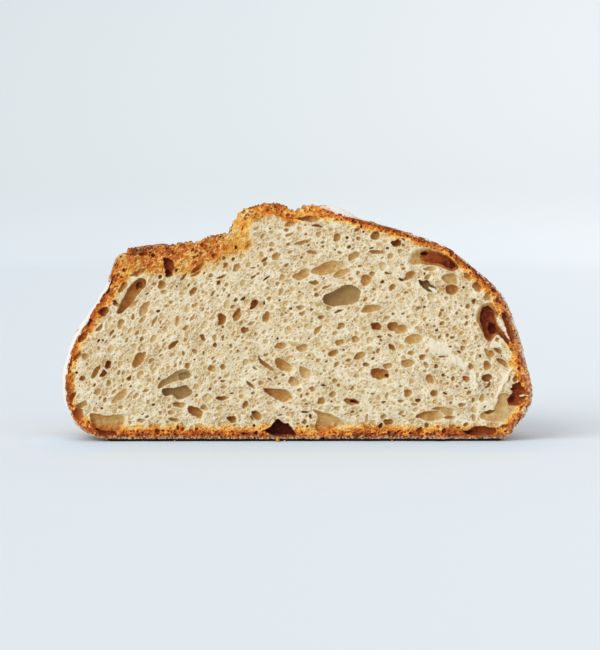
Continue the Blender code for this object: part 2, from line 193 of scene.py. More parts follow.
SMALL_HOLES_MIDDLE = [
    (264, 303, 3, 5, 0, 6), (269, 299, 5, 6, 0, 4), (268, 288, 5, 2, 0, 4), (277, 284, 5, 4, 0, 4),
    (264, 260, 8, 4, 50, 6), (265, 264, 6, 4, 45, 4), (271, 250, 5, 4, 0, 4), (286, 265, 6, 4, 45, 4),
    (266, 278, 10, 1.6, 35, 9), (258, 274, 4, 3, 0, 4), (253, 277, 7, 3, 30, 5),
    (253, 268, 6, 1.8, 0, 5), (317, 226, 13, 3, -12, 7), (286, 230, 6, 4, 0, 4),
    (289, 235, 10, 3.5, 22, 4), (305, 234, 4, 2, 0, 4), (303, 242, 20, 4, 15, 4),
    (308, 245, 4, 3, 0, 4), (288, 244, 6, 3, 0, 4), (318, 234, 7, 6, 0, 3), (322, 242, 5, 3, 0, 4),
    (322, 246, 4, 3, 0, 4), (346, 237, 4, 3, 0, 7), (348, 246, 4, 4, 0, 6),
    (334, 249, 2.5, 2.5, 0, 6), (339, 252, 7, 3, -15, 4), (357, 238, 6, 4, -40, 4),
    (360, 226, 3, 4, 0, 7), (362, 231, 3, 2, 0, 7), (356, 229, 9, 4, 20, 5),
    (370, 247, 6, 1.8, 15, 7), (290, 252, 6, 5, 0, 3), (312, 252, 14, 4, -8, 4),
    (301, 257, 4, 3, 0, 4), (334, 266, 6, 3, 30, 4), (314, 282, 11, 5, 0, 5), (357, 272, 5, 4, 0, 4),
    (359, 265, 6, 3, 0, 4), (350, 278, 6, 4, 0, 3), (326, 286, 11, 3, 20, 4), (315, 289, 5, 4, 0, 3),
    (373, 288, 6, 3, 0, 4), (365, 363, 8, 4.5, 0, 6), (352, 387, 5, 5, 0, 4), (338, 384, 4, 5, 0, 4),
    (331, 400, 3, 2, 0, 6), (352, 410, 5, 3, 0, 5), (366, 417, 4, 10, 0, 3), (372, 392, 6, 2, 0, 4),
    (252, 418, 8, 2.5, -50, 5), (254, 425, 3, 3, 0, 7), (256, 432, 4, 4, 0, 8),
    (244, 433, 6, 3.5, 0, 8), (305, 411, 9, 2.5, -5, 7), (310, 415, 2.5, 6, 0, 7),
    (304, 421, 5, 6, 0, 5), (307, 425, 2.5, 2.5, 0, 7), (303, 438, 4, 2, 0, 5),
    (322, 437, 6, 2.5, 0, 7), (251, 385, 14, 3, -40, 6), (270, 379, 8, 2, -35, 5),
    (255, 368, 7, 2, -35, 5), (276, 377, 5, 4, 0, 4), (283, 374, 5, 3, 0, 4),
    (312, 388, 8, 5, -20, 4), (307, 393, 5, 3, 0, 4), (301, 395, 3, 5, 0, 4), (323, 384, 7, 2, -8, 7),
    (306, 403, 4, 2.5, 0, 5), (290, 402, 5, 2, 0, 4), (283, 406, 4, 2, 0, 4), (280, 414, 6, 2, 0, 4),
    (256, 334, 5, 4, 0, 3), (300, 307, 10, 5, 0, 4), (311, 309, 4, 4, 0, 4),
    (277, 338, 2.5, 2.5, 0, 8), (288, 330, 8, 10, 0, 2), (290, 308, 4, 3, 0, 6),
    (355, 338, 9, 7, 0, 4), (338, 310, 10, 3, 15, 6), (348, 359, 7, 4, 0, 4), (336, 363, 8, 5, 35, 4),
    (364, 298, 6, 4, 40, 4), (377, 349, 5, 5, 0, 4), (373, 351, 3, 3, 0, 4),
]
SMALL_HOLES_RIGHT = [
    (402, 244, 4, 4, 0, 4), (386, 247, 4, 3, 0, 6), (402, 267, 5, 3, 0, 4), (423, 272, 3, 3, 0, 5),
    (426, 275, 8, 5, 35, 4), (387, 272, 9, 3, -10, 5), (405, 291, 6, 3, 0, 4),
    (462, 285, 2.5, 3, 0, 7), (496, 297, 6, 6, 0, 5), (492, 288, 7, 4, -40, 7),
    (472, 299, 5, 6, 0, 6), (466, 304, 5, 6, 0, 4), (516, 335, 5, 8, 10, 5), (496, 337, 6, 5, 0, 4),
    (497, 348, 12, 4, -30, 5), (438, 335, 4, 4, 0, 4), (446, 333, 4, 4, 0, 4), (449, 344, 4, 2, 0, 4),
    (441, 308, 5, 3, 0, 5), (439, 312, 5, 6, 0, 4), (455, 311, 4, 4, 0, 4), (441, 321, 6, 5, -40, 4),
    (465, 321, 4, 5, 0, 4), (426, 323, 4, 3, 0, 4), (433, 324, 4, 3, 0, 4), (462, 346, 7, 5, -35, 4),
    (475, 335, 6, 6, 0, 3), (441, 354, 9, 2, 0, 5), (448, 356, 8, 7, 0, 3), (435, 364, 5, 4.5, 0, 6),
    (425, 363, 9, 5, -55, 4), (479, 353, 2.5, 4, 0, 6), (442, 373, 4.5, 4, 0, 6),
    (452, 376, 5, 4, 45, 5), (444, 391, 7, 2, -25, 7), (468, 390, 5, 5, 0, 4), (472, 397, 4, 6, 0, 4),
    (461, 402, 9, 4, 0, 4), (484, 404, 3, 3, 0, 4), (456, 384, 4, 3, 0, 4), (507, 375, 4.5, 7, 0, 4),
    (514, 376, 5, 7, 0, 5), (440, 406, 20, 4, 0, 4), (449, 415, 14, 4, 0, 5), (426, 423, 5, 5, 0, 5),
    (443, 428, 5, 6, 0, 7), (449, 433, 4, 3, 0, 5), (458, 425, 6, 3, 0, 4), (465, 422, 6, 5, 0, 5),
    (503, 423, 9, 4, 0, 5), (519, 417, 7, 4, 60, 7), (518, 366, 4, 6, 0, 5), (417, 398, 6, 4, 0, 7),
    (414, 402, 8, 4, 0, 3), (400, 399, 8, 3, 0, 4), (383, 400, 5, 3, 0, 5), (386, 394, 4, 8, 0, 3),
    (380, 424, 5, 6, 0, 7), (410, 431, 4, 3, 0, 7), (388, 431, 3, 3, 0, 6), (398, 429, 3, 2, 0, 6),
    (425, 423, 4, 5, 0, 5), (403, 414, 5, 3, 0, 3), (410, 351, 8, 5, 0, 4),
    (426, 349, 4.5, 4.5, 0, 3), (392, 312, 5, 3, 0, 4), (402, 312, 4.5, 2.5, 0, 4),
    (386, 316, 8, 4, 0, 3), (418, 306, 5, 4, 0, 4), (423, 305, 4, 3, 0, 5), (407, 315, 5, 4, 0, 3),
    (379, 335, 8, 3, 0, 5), (389, 334, 7, 3, -30, 4),
]

# Holes with an outline of their own, as points in the same steps of half a millimetre
OUTLINED_HOLES = {
    "black_hollow": (16, [(-35, 12), (-30, 15), (-26, 20), (-21, 24), (-16, 20), (-11, 20), (-9, 17),
                          (-6, 13), (-2, 7), (-14, 8), (-23, 6), (-29, 8)]),
    "corner_hollow": (4.2, [(-208, 27), (-202, 28), (-191, 26), (-173, 28), (-171, 22), (-172, 15),
                          (-179, 8), (-184, 4), (-194, 5), (-201, 8), (-206, 14)]),
    "corner_hollow_floor": (9, [(-203, 13), (-194, 10), (-184, 10), (-181, 7), (-188, 4), (-196, 5)]),
    "base_hollow": (3.6, [(13, 34), (21, 32), (30, 30), (39, 26), (48, 22), (55, 18), (44, 16), (32, 14),
                         (25, 11), (21, 10), (15, 14), (16, 20), (18, 28)]),
    "top_right_hollow": (6, [(107, 181), (108, 186), (112, 192), (119, 195), (128, 195.5), (135, 193),
                             (143, 190), (151, 185), (156, 180), (158, 176), (153, 173), (146, 174),
                             (139, 177), (131, 178.5), (121, 179), (112, 178)]),
    "top_right_depth": (9, [(119, 184), (121, 192), (128, 194), (137, 191), (148, 186), (155, 178),
                             (150, 175), (140, 179), (128, 181)]),
    "right_hollow": (7, [(182, 141), (191, 142), (195, 136), (198, 131), (196, 125), (199, 118),
                         (204, 112), (209, 107), (208, 100), (203, 105), (197, 110), (193, 106),
                         (190, 103), (187, 103), (182, 111), (178, 119), (175, 125), (176, 133)]),
    "right_hollow_depth": (9.5, [(181, 136), (188, 139), (194, 133), (195, 126), (198, 117), (206, 106),
                                 (201, 107), (196, 111), (190, 105), (186, 106), (182, 115),
                                (179, 125)]),
    "grey_hollow": (8, [(22, 144), (25, 148), (32, 151), (38, 154.5), (44, 158), (52, 158), (59, 155),
                        (61, 151), (60, 146), (57, 140), (49, 138), (39, 137), (31, 137), (25, 139)]),
    "left_crevice": (8, [(-181, 129), (-178, 137), (-173, 146), (-169, 154), (-163, 160), (-157, 163),
                         (-152, 160), (-153, 154), (-158, 148), (-162, 143), (-166, 137), (-172, 131),
                         (-178, 127)]),
    "torn_hollow": (9, [(-135, 183), (-127, 181), (-124, 176), (-126, 168), (-130, 167), (-134, 173),
                        (-135, 179)]),
    "left_pale_trough": (4, [(-141, 54), (-138, 61), (-132, 64), (-122, 71), (-114, 73), (-106, 71),
                             (-108, 66), (-114, 62), (-123, 60), (-132, 57), (-138, 53)]),
    "left_grey_hollow": (8, [(-137, 52), (-132, 54), (-125, 54), (-114, 57), (-108, 53), (-106, 49),
                             (-110, 45), (-120, 42), (-124, 45), (-127, 47), (-134, 46)]),
    "long_angular": (6, [(-41, 88), (-38, 83), (-29, 77), (-23, 71), (-28, 72), (-35, 76), (-40, 81)]),
    "wide_angular": (6, [(-37, 54), (-22, 54), (-12, 53), (-5, 45), (-8, 42), (-15, 40), (-26, 45)]),
    "ragged_crevice": (10, [(118, 164), (122, 163), (127, 164), (130, 160), (136, 156), (135, 152),
                            (128, 152), (124, 154.5), (120, 159)]),
    "crevice_neighbour": (7, [(145, 158), (152, 160), (158, 157), (157, 152), (152, 149), (146, 151)]),
    "crevice_pale": (4, [(140, 166), (144, 170), (153, 171), (158, 166), (157, 159), (149, 159),
                         (144, 162)]),
    "low_fold": (5, [(115, 28), (124, 33), (133, 34), (141, 33), (146, 27), (141, 24), (128, 23),
                     (119, 26)]),
    "pale_fold": (3.5, [(135, 36), (153, 37), (154, 31), (149, 26), (142, 32)]),
    "right_fold": (3.4, [(199, 51), (208, 52), (216, 46), (219, 36), (212, 24), (207, 22), (197, 22),
                        (182, 26), (179, 29), (184, 34), (192, 34), (195, 39), (197, 45)]),
    "right_crust_hollow": (9, [(207, 44), (209, 49), (212, 53), (210, 56), (214, 59), (220, 60),
                               (225, 56), (226, 51), (225, 45), (222, 41), (215, 39), (209, 40)]),
    "base_crust_hollow": (9, [(162, 15), (168, 14), (173, 18), (181, 19), (190, 18), (196, 17),
                               (197, 12), (191, 9), (182, 9), (175, 9), (169, 10), (164, 13)]),
    "right_crust_trough": (7, [(203, 133), (207, 131), (210, 122), (214, 112), (216, 104), (212, 101),
                               (208, 108), (204, 120), (201, 128)]),
    "right_brown_hollow": (7, [(182, 70), (191, 70), (192, 64), (189, 57), (184, 57), (187, 61),
                               (182, 65)]),
}

# Of these, the ones whose dark side is away from the light
OPEN_TO_THE_LEFT = {"right_hollow", "top_right_hollow", "top_right_depth"}
BROWNED = {"right_crust_hollow", "right_crust_trough", "base_crust_hollow", "torn_hollow",
           "right_hollow_depth", "top_right_depth"}
# Hollows that light does not reach, painted grey as shade
GREY_SHADED = {"left_grey_hollow", "grey_hollow", "ragged_crevice", "left_pale_trough"}

# Thin pale flaps that stand across holes or proud of the face, with a painted highlight: length, width,
# tilt, height
FLAPS = [
    (-192, 71, 7, 1.6, -50, 0.3), (132, 154, 9, 4, -30, 0.5),
    (224, 35, 5, 8, 0, 0.8), (9, 23, 2, 5, 10, 0.3), (-1, 101, 5, 1.6, -50, 0.5),
    (223, 50, 10, 2.4, 3, 0.6), (187, 62.5, 5, 3, 10, 0.3), (196, 100, 9, 6, 0, 0.7),
    (108, 36, 2, 3, 60, 0.4), (191, 64, 2, 4, 0, 0.2), (173, 68, 24, 6, -80, 0.8),
    (203, 62, 30, 3.5, 62, 0.8), (201.5, 119, 24, 3.6, -62, 0.4), (139, 97, 28, 12, -25, 0.3),
    (155, 84, 24, 10, -20, 0.3),
]

# How the long seeded holes tilt, in degrees, at places across the loaf
FLOW_PLACES = [-116, -80, -50, -20, 0, 30, 70, 100]
FLOW_TILTS = [75, 62, 50, 25, -10, 5, -10, -60]

# Seeded holes that fill the crumb: tries, least and most half length, least and most depth
FILLING = [(3400, 1.0, 2.5, 0.7, 1.8), (5200, 0.5, 1.0, 0.5, 1.3), (12000, 0.24, 0.5, 0.3, 0.9)]

# Shallow cells of the crumb's foam: cell size, share of them that are open, tone of their painted shade,
# depth, seed
FOAM = [(4.6, 0.45, 0.40, 0.5, 201), (2.5, 0.5, 0.44, 0.3, 211), (1.15, 0.5, 0.42, 0.12, 221)]
FOAM_STRETCH = 1.3
# Stretches of the loaf where the foam leans: from x, to x, lean in degrees
FOAM_LEANS = [(-130, -35, 60), (-35, 45, 3), (45, 130, -50)]
FOAM_OVERLAP = 14.0
# How the strands of the torn crust and the folds at the right lean
STRAND_LEAN = 0.55
FOLD_LEAN = math.radians(-58)
HOLE_RELIEF = 0.7
CONTACT_TONE = 2.2
ARCH_PITS = 420
BASE_PITS = 330
SEED = 11

# Loose crumbs at the foot: place across, distance in front of the cut, radius
LOOSE_CRUMBS = [(-11, 1.4, 1.1), (-7.5, 0.9, 0.5), (46, 0.8, 0.5), (-62, 0.8, 0.45)]

# Grids. The four corners of the cut face's grid are points of the outline
FACE_CORNERS = [LEFT_WALL[1], LEFT_WALL[-1], SHOULDER[5], RIGHT_WALL[3]]
RASTER_STEP = 0.2
RASTER_LOW = (-118.6, -0.6)
RASTER_HIGH = (118.6, 119.6)
EDGE_EVERY = 3
FACE_COLUMNS = 900
FACE_PANELS = 4
FACE_ROWS = 420
CRUST_COLUMNS = 700
CRUST_ROWS = 268
BASE_COLUMNS = 150
RANDOM_TABLE = np.random.default_rng(SEED).uniform(-1, 1, 65536)

# Stage in metres: radius of the flat floor, radius of the bend, height of the upright, floor rings
STAGE_FLAT = 2.4
STAGE_BEND = 1.0
STAGE_WALL = 2.2
STAGE_RINGS = 24

# Light
KEY_STRENGTH = 1.42
KEY_PLACE = (-1.3, -1.15, 1.1)
KEY_WIDTH = math.radians(46)
KEY_COLOUR = (1.0, 0.985, 0.96)
SKY_STRENGTH = 0.72
SKY_COLOUR = (0.975, 0.99, 1.0, 1)

# Camera, in degrees and metres. The frame height is what its longer side covers at the cut
CAMERA_AZIMUTH = -1.5
CAMERA_ELEVATION = 3.5
CAMERA_ROLL = 0.12
CAMERA_DISTANCE = 1.1
CAMERA_SIDESTEP = 0.0001
CAMERA_AIM_HEIGHT = 0.0580
FRAME_HEIGHT = 0.3222
SENSOR = 36


def smoothstep(low, high, value):
    """0 below low, 1 above high, and 3s^2 - 2s^3 of the share between."""
    share = np.clip((value - low) / (high - low), 0, 1)
    return share * share * (3 - 2 * share)


def noise(places, seed):
    """Smooth noise from -1 to 1. Each point of a unit lattice holds a random number, and between
    them the numbers are blended along every axis with the weight 3s^2 - 2s^3."""
    cells = [np.floor(place).astype(np.int64) for place in places]
    shares = [smoothstep(0, 1, place - cell) for place, cell in zip(places, cells)]
    total = 0
    for corner in itertools.product((0, 1), repeat=len(places)):
        key = seed * 7919
        weight = 1
        for cell, share, step, factor in zip(cells, shares, corner, (73856093, 19349663, 83492791)):
            key = key + (cell + step) * factor
            weight = weight * (share if step else 1 - share)
        key = key ^ (key >> 13)
        key = (key & 0xFFFFFFF) * 668265263
        total = total + weight * RANDOM_TABLE[(key >> 12) & 65535]
    return total


def layered_noise(places, layers, seed):
    """Noise and half as much of it at half the size, and so on."""
    return sum(noise([place * 2 ** layer for place in places], seed + layer) / 2 ** layer
               for layer in range(layers))


def cells(u, v, seed):
    """A pattern of cells. Each square of a unit lattice holds one point at a random place; given
    back are how much farther the second nearest point is than the nearest, which is 0 at the
    borders between cells, and a random number from 0 to 1 of the nearest point."""
    square_u, square_v = np.floor(u).astype(np.int64), np.floor(v).astype(np.int64)
    nearest, second, value = np.full(u.shape, 9.0), np.full(u.shape, 9.0), np.zeros(u.shape)
    for step_u, step_v in itertools.product((-1, 0, 1), repeat=2):
        at_u, at_v = square_u + step_u, square_v + step_v
        key = seed * 7919 + at_u * 73856093 + at_v * 19349663
        key = ((key ^ (key >> 13)) & 0xFFFFFFF) * 668265263
        point_u = at_u + 0.5 + 0.42 * RANDOM_TABLE[(key >> 12) & 65535]
        point_v = at_v + 0.5 + 0.42 * RANDOM_TABLE[(key >> 15) & 65535]
        distance = np.hypot(u - point_u, v - point_v)
        closer = distance < nearest
        second = np.where(closer, nearest, np.minimum(second, distance))
        value = np.where(closer, RANDOM_TABLE[(key >> 18) & 65535], value)
        nearest = np.minimum(nearest, distance)
    return second - nearest, (value + 1) / 2


def curve_through(points, steps=12, closed=False):
    """Catmull-Rom curve: a cubic between neighbours, its slope at each point half the step
    from the point before to the point after."""
    points = np.array(points, float)
    if closed:
        padded = np.vstack([points[-1], points, points[0], points[1]])
    else:
        padded = np.vstack([2 * points[0] - points[1], points, 2 * points[-1] - points[-2]])
    before, start, end, after = padded[:-3], padded[1:-2], padded[2:-1], padded[3:]
    share = np.linspace(0, 1, steps, endpoint=False)[:, None, None]
    cubic = 0.5 * (2 * start + (end - before) * share
                   + (2 * before - 5 * start + 4 * end - after) * share ** 2
                   + (3 * start - before - 3 * end + after) * share ** 3)
    curve = cubic.transpose(1, 0, 2).reshape(-1, 2)
    return curve if closed else np.vstack([curve, points[-1]])


class Outline:
    """The arch of the cut, walked from the left foot over the top to the right foot."""

    def __init__(self):
        curve = curve_through(CUT_OUTLINE)
        self.curve = curve
        steps = np.linalg.norm(np.diff(curve, axis=0), axis=1)
        self.travelled = np.concatenate([[0], np.cumsum(steps)])
        self.length = self.travelled[-1]
        self.control_travelled = self.travelled[::12]

    def at(self, along):
        """x, z and the outward direction at a distance along the arch."""
        x = np.interp(along, self.travelled, self.curve[:, 0])
        z = np.interp(along, self.travelled, self.curve[:, 1])
        slope_x = np.gradient(self.curve[:, 0], self.travelled + np.arange(len(self.travelled)) * 1e-9)
        slope_z = np.gradient(self.curve[:, 1], self.travelled + np.arange(len(self.travelled)) * 1e-9)
        out_x = -np.interp(along, self.travelled, slope_z)
        out_z = np.interp(along, self.travelled, slope_x)
        size = np.hypot(out_x, out_z)
        return x, z, out_x / size, out_z / size

    def ragged(self, along):
        """How far the broken edge of the crust stands out or in: noise, three times as large over
        the torn band, and none at the two feet."""
        x, z, _, _ = self.at(along)
        torn = smoothstep(-92, -84, x) * (1 - 0.25 * smoothstep(-36, -20, x)) * smoothstep(80, 92, z)
        torn = torn * (1 - smoothstep(2, 16, x))
        size = 0.18 + 0.66 * torn
        at_feet = smoothstep(0.5, 6, z)
        return size * at_feet * (0.65 * noise([along / 1.9], 3) + 0.85 * noise([along / 0.75], 4))

    def broken(self, along):
        """x and z of the ragged edge."""
        x, z, out_x, out_z = self.at(along)
        offset = self.ragged(along)
        return x + out_x * offset, np.maximum(z + out_z * offset, 0)

    def baked_width(self, along):
        """How thick the baked zone is, between the widths given for the outline's points."""
        return np.interp(along, self.control_travelled, BAKED_WIDTHS)

    def nearest(self, x, z):
        """The distance along the arch of the curve's point that is nearest to (x, z)."""
        spot = np.argmin(np.hypot(self.curve[:, 0] - x, self.curve[:, 1] - z))
        return self.travelled[spot]


OUTLINE = Outline()


def round_body_height(across, back, upper):
    """Height of the plain round loaf: with r the share of the radius, the top is
    waist + (dome - waist) (1 - r^p)^k and the underside a quarter round outside the flat base."""
    r = np.clip(np.hypot(across / RADIUS, back), 0, 1)
    top = WAIST_HEIGHT + (DOME_HEIGHT - WAIST_HEIGHT) * (1 - r ** DOME_POWER) ** DOME_ROUNDNESS
    outside_base = np.clip((r - FLAT_BASE_SHARE) / (1 - FLAT_BASE_SHARE), 0, 1)
    underside = WAIST_HEIGHT * (1 - np.sqrt(1 - outside_base ** 2))
    return underside + (top - underside) * upper


def follow_score(cut_x, back):
    """Where a line of the loaf that starts at cut_x runs behind the cut, before the body
    rounds in: near the score the lines draw together and bend into a crescent."""
    narrowing = 1 - (1 - SCORE_END_WIDTH) * smoothstep(0, 0.65, back)
    left_of_zone = 1 - smoothstep(-RADIUS, SCORE_ZONE[0], cut_x)
    right_of_zone = smoothstep(SCORE_ZONE[1], RADIUS, cut_x)
    near_score = (1 - left_of_zone) * (1 - right_of_zone)
    return cut_x + near_score * ((cut_x - SCORE_MIDDLE) * (narrowing - 1) + SCORE_CRESCENT * back ** 2)


def crags(place, back):
    """Torn ridges that run back along the score band: a broad and a narrow wave across it
    that wander sideways, break up along their length and end at the edges of the band."""
    left_edge, right_edge = BAND_EDGES
    wander = 2.0 * np.sin(9 * back + place / 11)
    broad = np.sin(math.tau * place / CRAG_WIDTHS[0] + wander)
    narrow = np.sin(math.tau * place / CRAG_WIDTHS[1] - 1.7 * wander)
    broken = 0.65 + 0.35 * np.sin(23 * back + place / 6)
    past_left = smoothstep(left_edge, left_edge + 8, place)
    past_right = smoothstep(right_edge - 4, right_edge, place)
    return CRAG_HEIGHT * (0.6 * broad + 0.42 * narrow) * broken * past_left * (1 - past_right)


def lumps(x, y, z):
    """The gentle unevenness of a hand-shaped loaf: three crossing waves."""
    return LUMP_HEIGHT / 2 * (np.sin(x / 13 + 2 * np.sin(z / 21)) + np.sin(y / 11 + x / 29 + 1)
                              + np.sin(z / 9 - y / 23 + 2))


def body(cut_x, cut_z, back):
    """The loaf's surface as a function of a place on the cut outline and how far back it is,
    from 0 at the cut to 1 at the back: the cut outline is carried back over the round body
    and what it adds to that body fades towards the back."""
    across = follow_score(cut_x, back) * np.sqrt(1 - back ** 2)
    upper = smoothstep(*WALL_BEND, cut_z)
    rest = cut_z - round_body_height(cut_x, 0, upper)
    fading = 1 - smoothstep(*SCORE_FADE, back)
    swell = np.where(cut_x < 0, LEFT_SWELL, RIGHT_SWELL) * smoothstep(0, 60, np.abs(cut_x))
    swell = swell * back / SWELL_PEAK * np.exp(1 - back / SWELL_PEAK)
    x = across * (1 + swell)
    y = DEPTH * back + np.zeros_like(x)
    z = round_body_height(across, back, upper) + rest * fading
    behind = smoothstep(0, 0.1, back)
    z = z + behind * smoothstep(12, 40, cut_z) * (fading * crags(cut_x, back) + lumps(x, y, z))
    return x, y, np.where(cut_z > 0, np.maximum(z, 0), z)


def in_millimetres(across, up):
    """x and z of a place that is given in half-millimetre steps from the middle of the base
    and the level of the left foot."""
    across, up = np.asarray(across, float), np.asarray(up, float)
    return across * HALF, (up - BASE_RISE * (across - LEFT_FOOT_ACROSS)) * HALF


def along_and_across(x, z, lean):
    """How far places lie along a direction that leans by this angle, and across it."""
    return x * math.cos(lean) + z * math.sin(lean), z * math.cos(lean) - x * math.sin(lean)


def foot_rounding(z):
    """How far the foot draws back from the cut plane: FOOT_BACK (1 - z / FOOT_HEIGHT)^2."""
    return FOOT_BACK * np.clip(1 - z / FOOT_HEIGHT, 0, 1) ** 2


class CutFace:
    """Depth, tone (mostly the painted shade of holes and pits), bake and flour over a raster of the cut
    plane.
    """

    # Direction across a hollow towards its lit wall; its painted shade is darker on the opposite wall
    lean_to_light = (0.85, -0.5)

    def __init__(self):
        self.random = np.random.default_rng(SEED)
        self.low_x, self.low_z = RASTER_LOW
        columns = np.arange(self.low_x, RASTER_HIGH[0], RASTER_STEP)
        rows = np.arange(self.low_z, RASTER_HIGH[1], RASTER_STEP)
        self.x, self.z = np.meshgrid(columns, rows)
        self.depth = np.zeros_like(self.x)
        self.tone = np.zeros_like(self.x)
        self.edge = np.full_like(self.x, 9.0)
        self.grey = np.zeros_like(self.x)
        self.jitter = [layered_noise([self.x / 1.3, self.z / 1.3], 2, seed) for seed in (21, 31)]
        self.measure_from_edge()

    def sample(self, field, x, z, every=1):
        """The field between its points, blended in proportion. It holds one raster point in
        every so many."""
        column = np.clip((x - self.low_x) / RASTER_STEP / every, 0, field.shape[1] - 1.001)
        row = np.clip((z - self.low_z) / RASTER_STEP / every, 0, field.shape[0] - 1.001)
        left, low = column.astype(int), row.astype(int)
        across, up = column - left, row - low
        return ((field[low, left] * (1 - across) + field[low, left + 1] * across) * (1 - up)
                + (field[low + 1, left] * (1 - across) + field[low + 1, left + 1] * across) * up)

    def measure_from_edge(self):
        """Distance to the arch and the baked width there, by the nearest of many points along
        it, found on one raster point in EDGE_EVERY and blended between."""
        along = np.arange(0, OUTLINE.length, 0.3)
        edge_x, edge_z, _, _ = OUTLINE.at(along)
        coarse_x = self.x[::EDGE_EVERY, ::EDGE_EVERY]
        coarse_z = self.z[::EDGE_EVERY, ::EDGE_EVERY]
        distance = np.empty_like(coarse_x)
        nearest = np.empty(coarse_x.shape, int)
        for row in range(len(coarse_x)):
            squares = ((coarse_x[row][:, None] - edge_x) ** 2 + (coarse_z[row][:, None] - edge_z) ** 2)
            nearest[row] = squares.argmin(1)
            distance[row] = np.sqrt(squares.min(1))
        width = OUTLINE.baked_width(along)[nearest]
        self.from_arch = self.sample(distance, self.x, self.z, EDGE_EVERY)
        self.width = self.sample(width, self.x, self.z, EDGE_EVERY)

    def window(self, low_x, high_x, low_z, high_z):
        """The part of the raster between these places."""
        left = max(int((low_x - self.low_x) / RASTER_STEP), 0)
        low = max(int((low_z - self.low_z) / RASTER_STEP), 0)
        right = max(int((high_x - self.low_x) / RASTER_STEP) + 2, left + 1)
        high = max(int((high_z - self.low_z) / RASTER_STEP) + 2, low + 1)
        return slice(low, high), slice(left, right)

    def press(self, window, edge, fullness, lean, depth, softness, fade=None):
        """A hollow: its depth rises as (1 - (1 - f)^3)^0.6 with the fullness f, and it is deeper
        towards the side that the light comes from. Its tone is painted shade: the deeper the hollow,
        the darker, and darker towards the side that the light comes from. On the other side the
        painted shade fades out, the more so the shallower it is."""
        bowl = (1 - (1 - np.clip(fullness, 0, 1)) ** 3) ** 0.6
        if fade is None:
            fade = np.clip(0.52 - 0.07 * depth, 0.2, 0.5)
        softness = softness * np.clip(1.9 - 0.3 * depth, 0.6, 1.7)
        relief = HOLE_RELIEF * depth * bowl * (1 - 0.3 * lean)
        self.depth[window] = np.maximum(self.depth[window], relief)
        soft = 0.2 + softness * np.clip(lean, 0, 1)
        # Painted shade: the tone darkens with the depth and towards the side that the light comes from
        tone = (0.12 + depth / 6) * (1 - fade * lean) * smoothstep(0, 1, -edge / soft)
        tone = tone * (1 + 0.13 * self.jitter[1][window])
        self.tone[window] = np.maximum(self.tone[window], tone)
        self.edge[window] = np.minimum(self.edge[window], edge)

    def press_round(self, x, z, half_length, half_width, tilt, depth):
        """A hollow inside the ellipse q = 1, whose radius swells and shrinks round it as a sum of
        cosines."""
        reach = 1.35 * max(half_length, half_width) + 0.6
        window = self.window(x - reach, x + reach, z - reach, z + reach)
        unevenness = min(0.3, 0.22 * half_width)
        off_x = self.x[window] - x + unevenness * self.jitter[0][window]
        off_z = self.z[window] - z + unevenness * self.jitter[1][window]
        along, cross = along_and_across(off_x, off_z, math.radians(tilt))
        length_share, width_share = along / half_length, cross / half_width
        angle = np.arctan2(width_share, length_share)
        swell = 1
        for waves, size in ((2, 0.1), (3, 0.1), (4, 0.06), (5, 0.04)):
            amount, phase = self.random.uniform(0.3, 1) * size, self.random.uniform(0, math.tau)
            swell = swell + amount * np.cos(waves * angle + phase)
        q = np.hypot(length_share, width_share) / swell
        lean = off_x * self.lean_to_light[0] + off_z * self.lean_to_light[1]
        lean = lean / max(half_length, half_width)
        softness = 0.5 * min(half_length, half_width)
        self.press(window, (q - 1) * min(half_length, half_width), 1 - q, np.clip(lean, -1, 1), depth,
                   softness)

    def press_outlined(self, points, depth, turned, grey_shaded, browned):
        """A hollow inside a closed curve through the points: its fullness is the distance to the
        curve as a share of 0.45 of the largest one."""
        x, z = in_millimetres(*np.array(points, float).T)
        curve = curve_through(np.stack([x, z], axis=1), 5, closed=True)
        low, high = curve.min(0) - 0.8, curve.max(0) + 0.8
        window = self.window(low[0], high[0], low[1], high[1])
        at_x = self.x[window][..., None] + 0.22 * self.jitter[0][window][..., None]
        at_z = self.z[window][..., None] + 0.22 * self.jitter[1][window][..., None]
        start, end = curve, np.roll(curve, -1, axis=0)
        step = end - start
        share = ((at_x - start[:, 0]) * step[:, 0] + (at_z - start[:, 1]) * step[:, 1])
        share = np.clip(share / (step ** 2).sum(1), 0, 1)
        distance = np.hypot(at_x - start[:, 0] - share * step[:, 0],
                            at_z - start[:, 1] - share * step[:, 1]).min(-1)
        crosses = (start[:, 1] > at_z) != (end[:, 1] > at_z)
        rise = np.where(step[:, 1] == 0, 1e-9, step[:, 1])
        to_the_left = at_x < start[:, 0] + step[:, 0] * (at_z - start[:, 1]) / rise
        inside = (crosses & to_the_left).sum(-1) % 2 == 1
        distance = np.where(inside, distance, -distance)
        middle, size = (low + high) / 2, (high - low).max() / 2
        lean = ((at_x[..., 0] - middle[0]) * self.lean_to_light[0]
                + (at_z[..., 0] - middle[1]) * self.lean_to_light[1]) / size
        lean = np.clip(-lean if turned else lean, -1, 1)
        softness = np.clip(0.75 * distance.max(), 0.7, 3.6) * np.clip(2.6 - depth / 1.6, 0.35, 1)
        fade = 0.45 if grey_shaded or browned else None
        self.press(window, -distance, distance / (0.45 * distance.max()), lean, depth, softness, fade)
        if browned:
            self.baked[window] = np.maximum(self.baked[window], 0.5 * smoothstep(0, 0.7, distance))
        # Painted shade: mask of the grey in hollows that light does not reach
        if grey_shaded:
            self.grey[window] = np.maximum(self.grey[window], smoothstep(0, 0.7, distance))

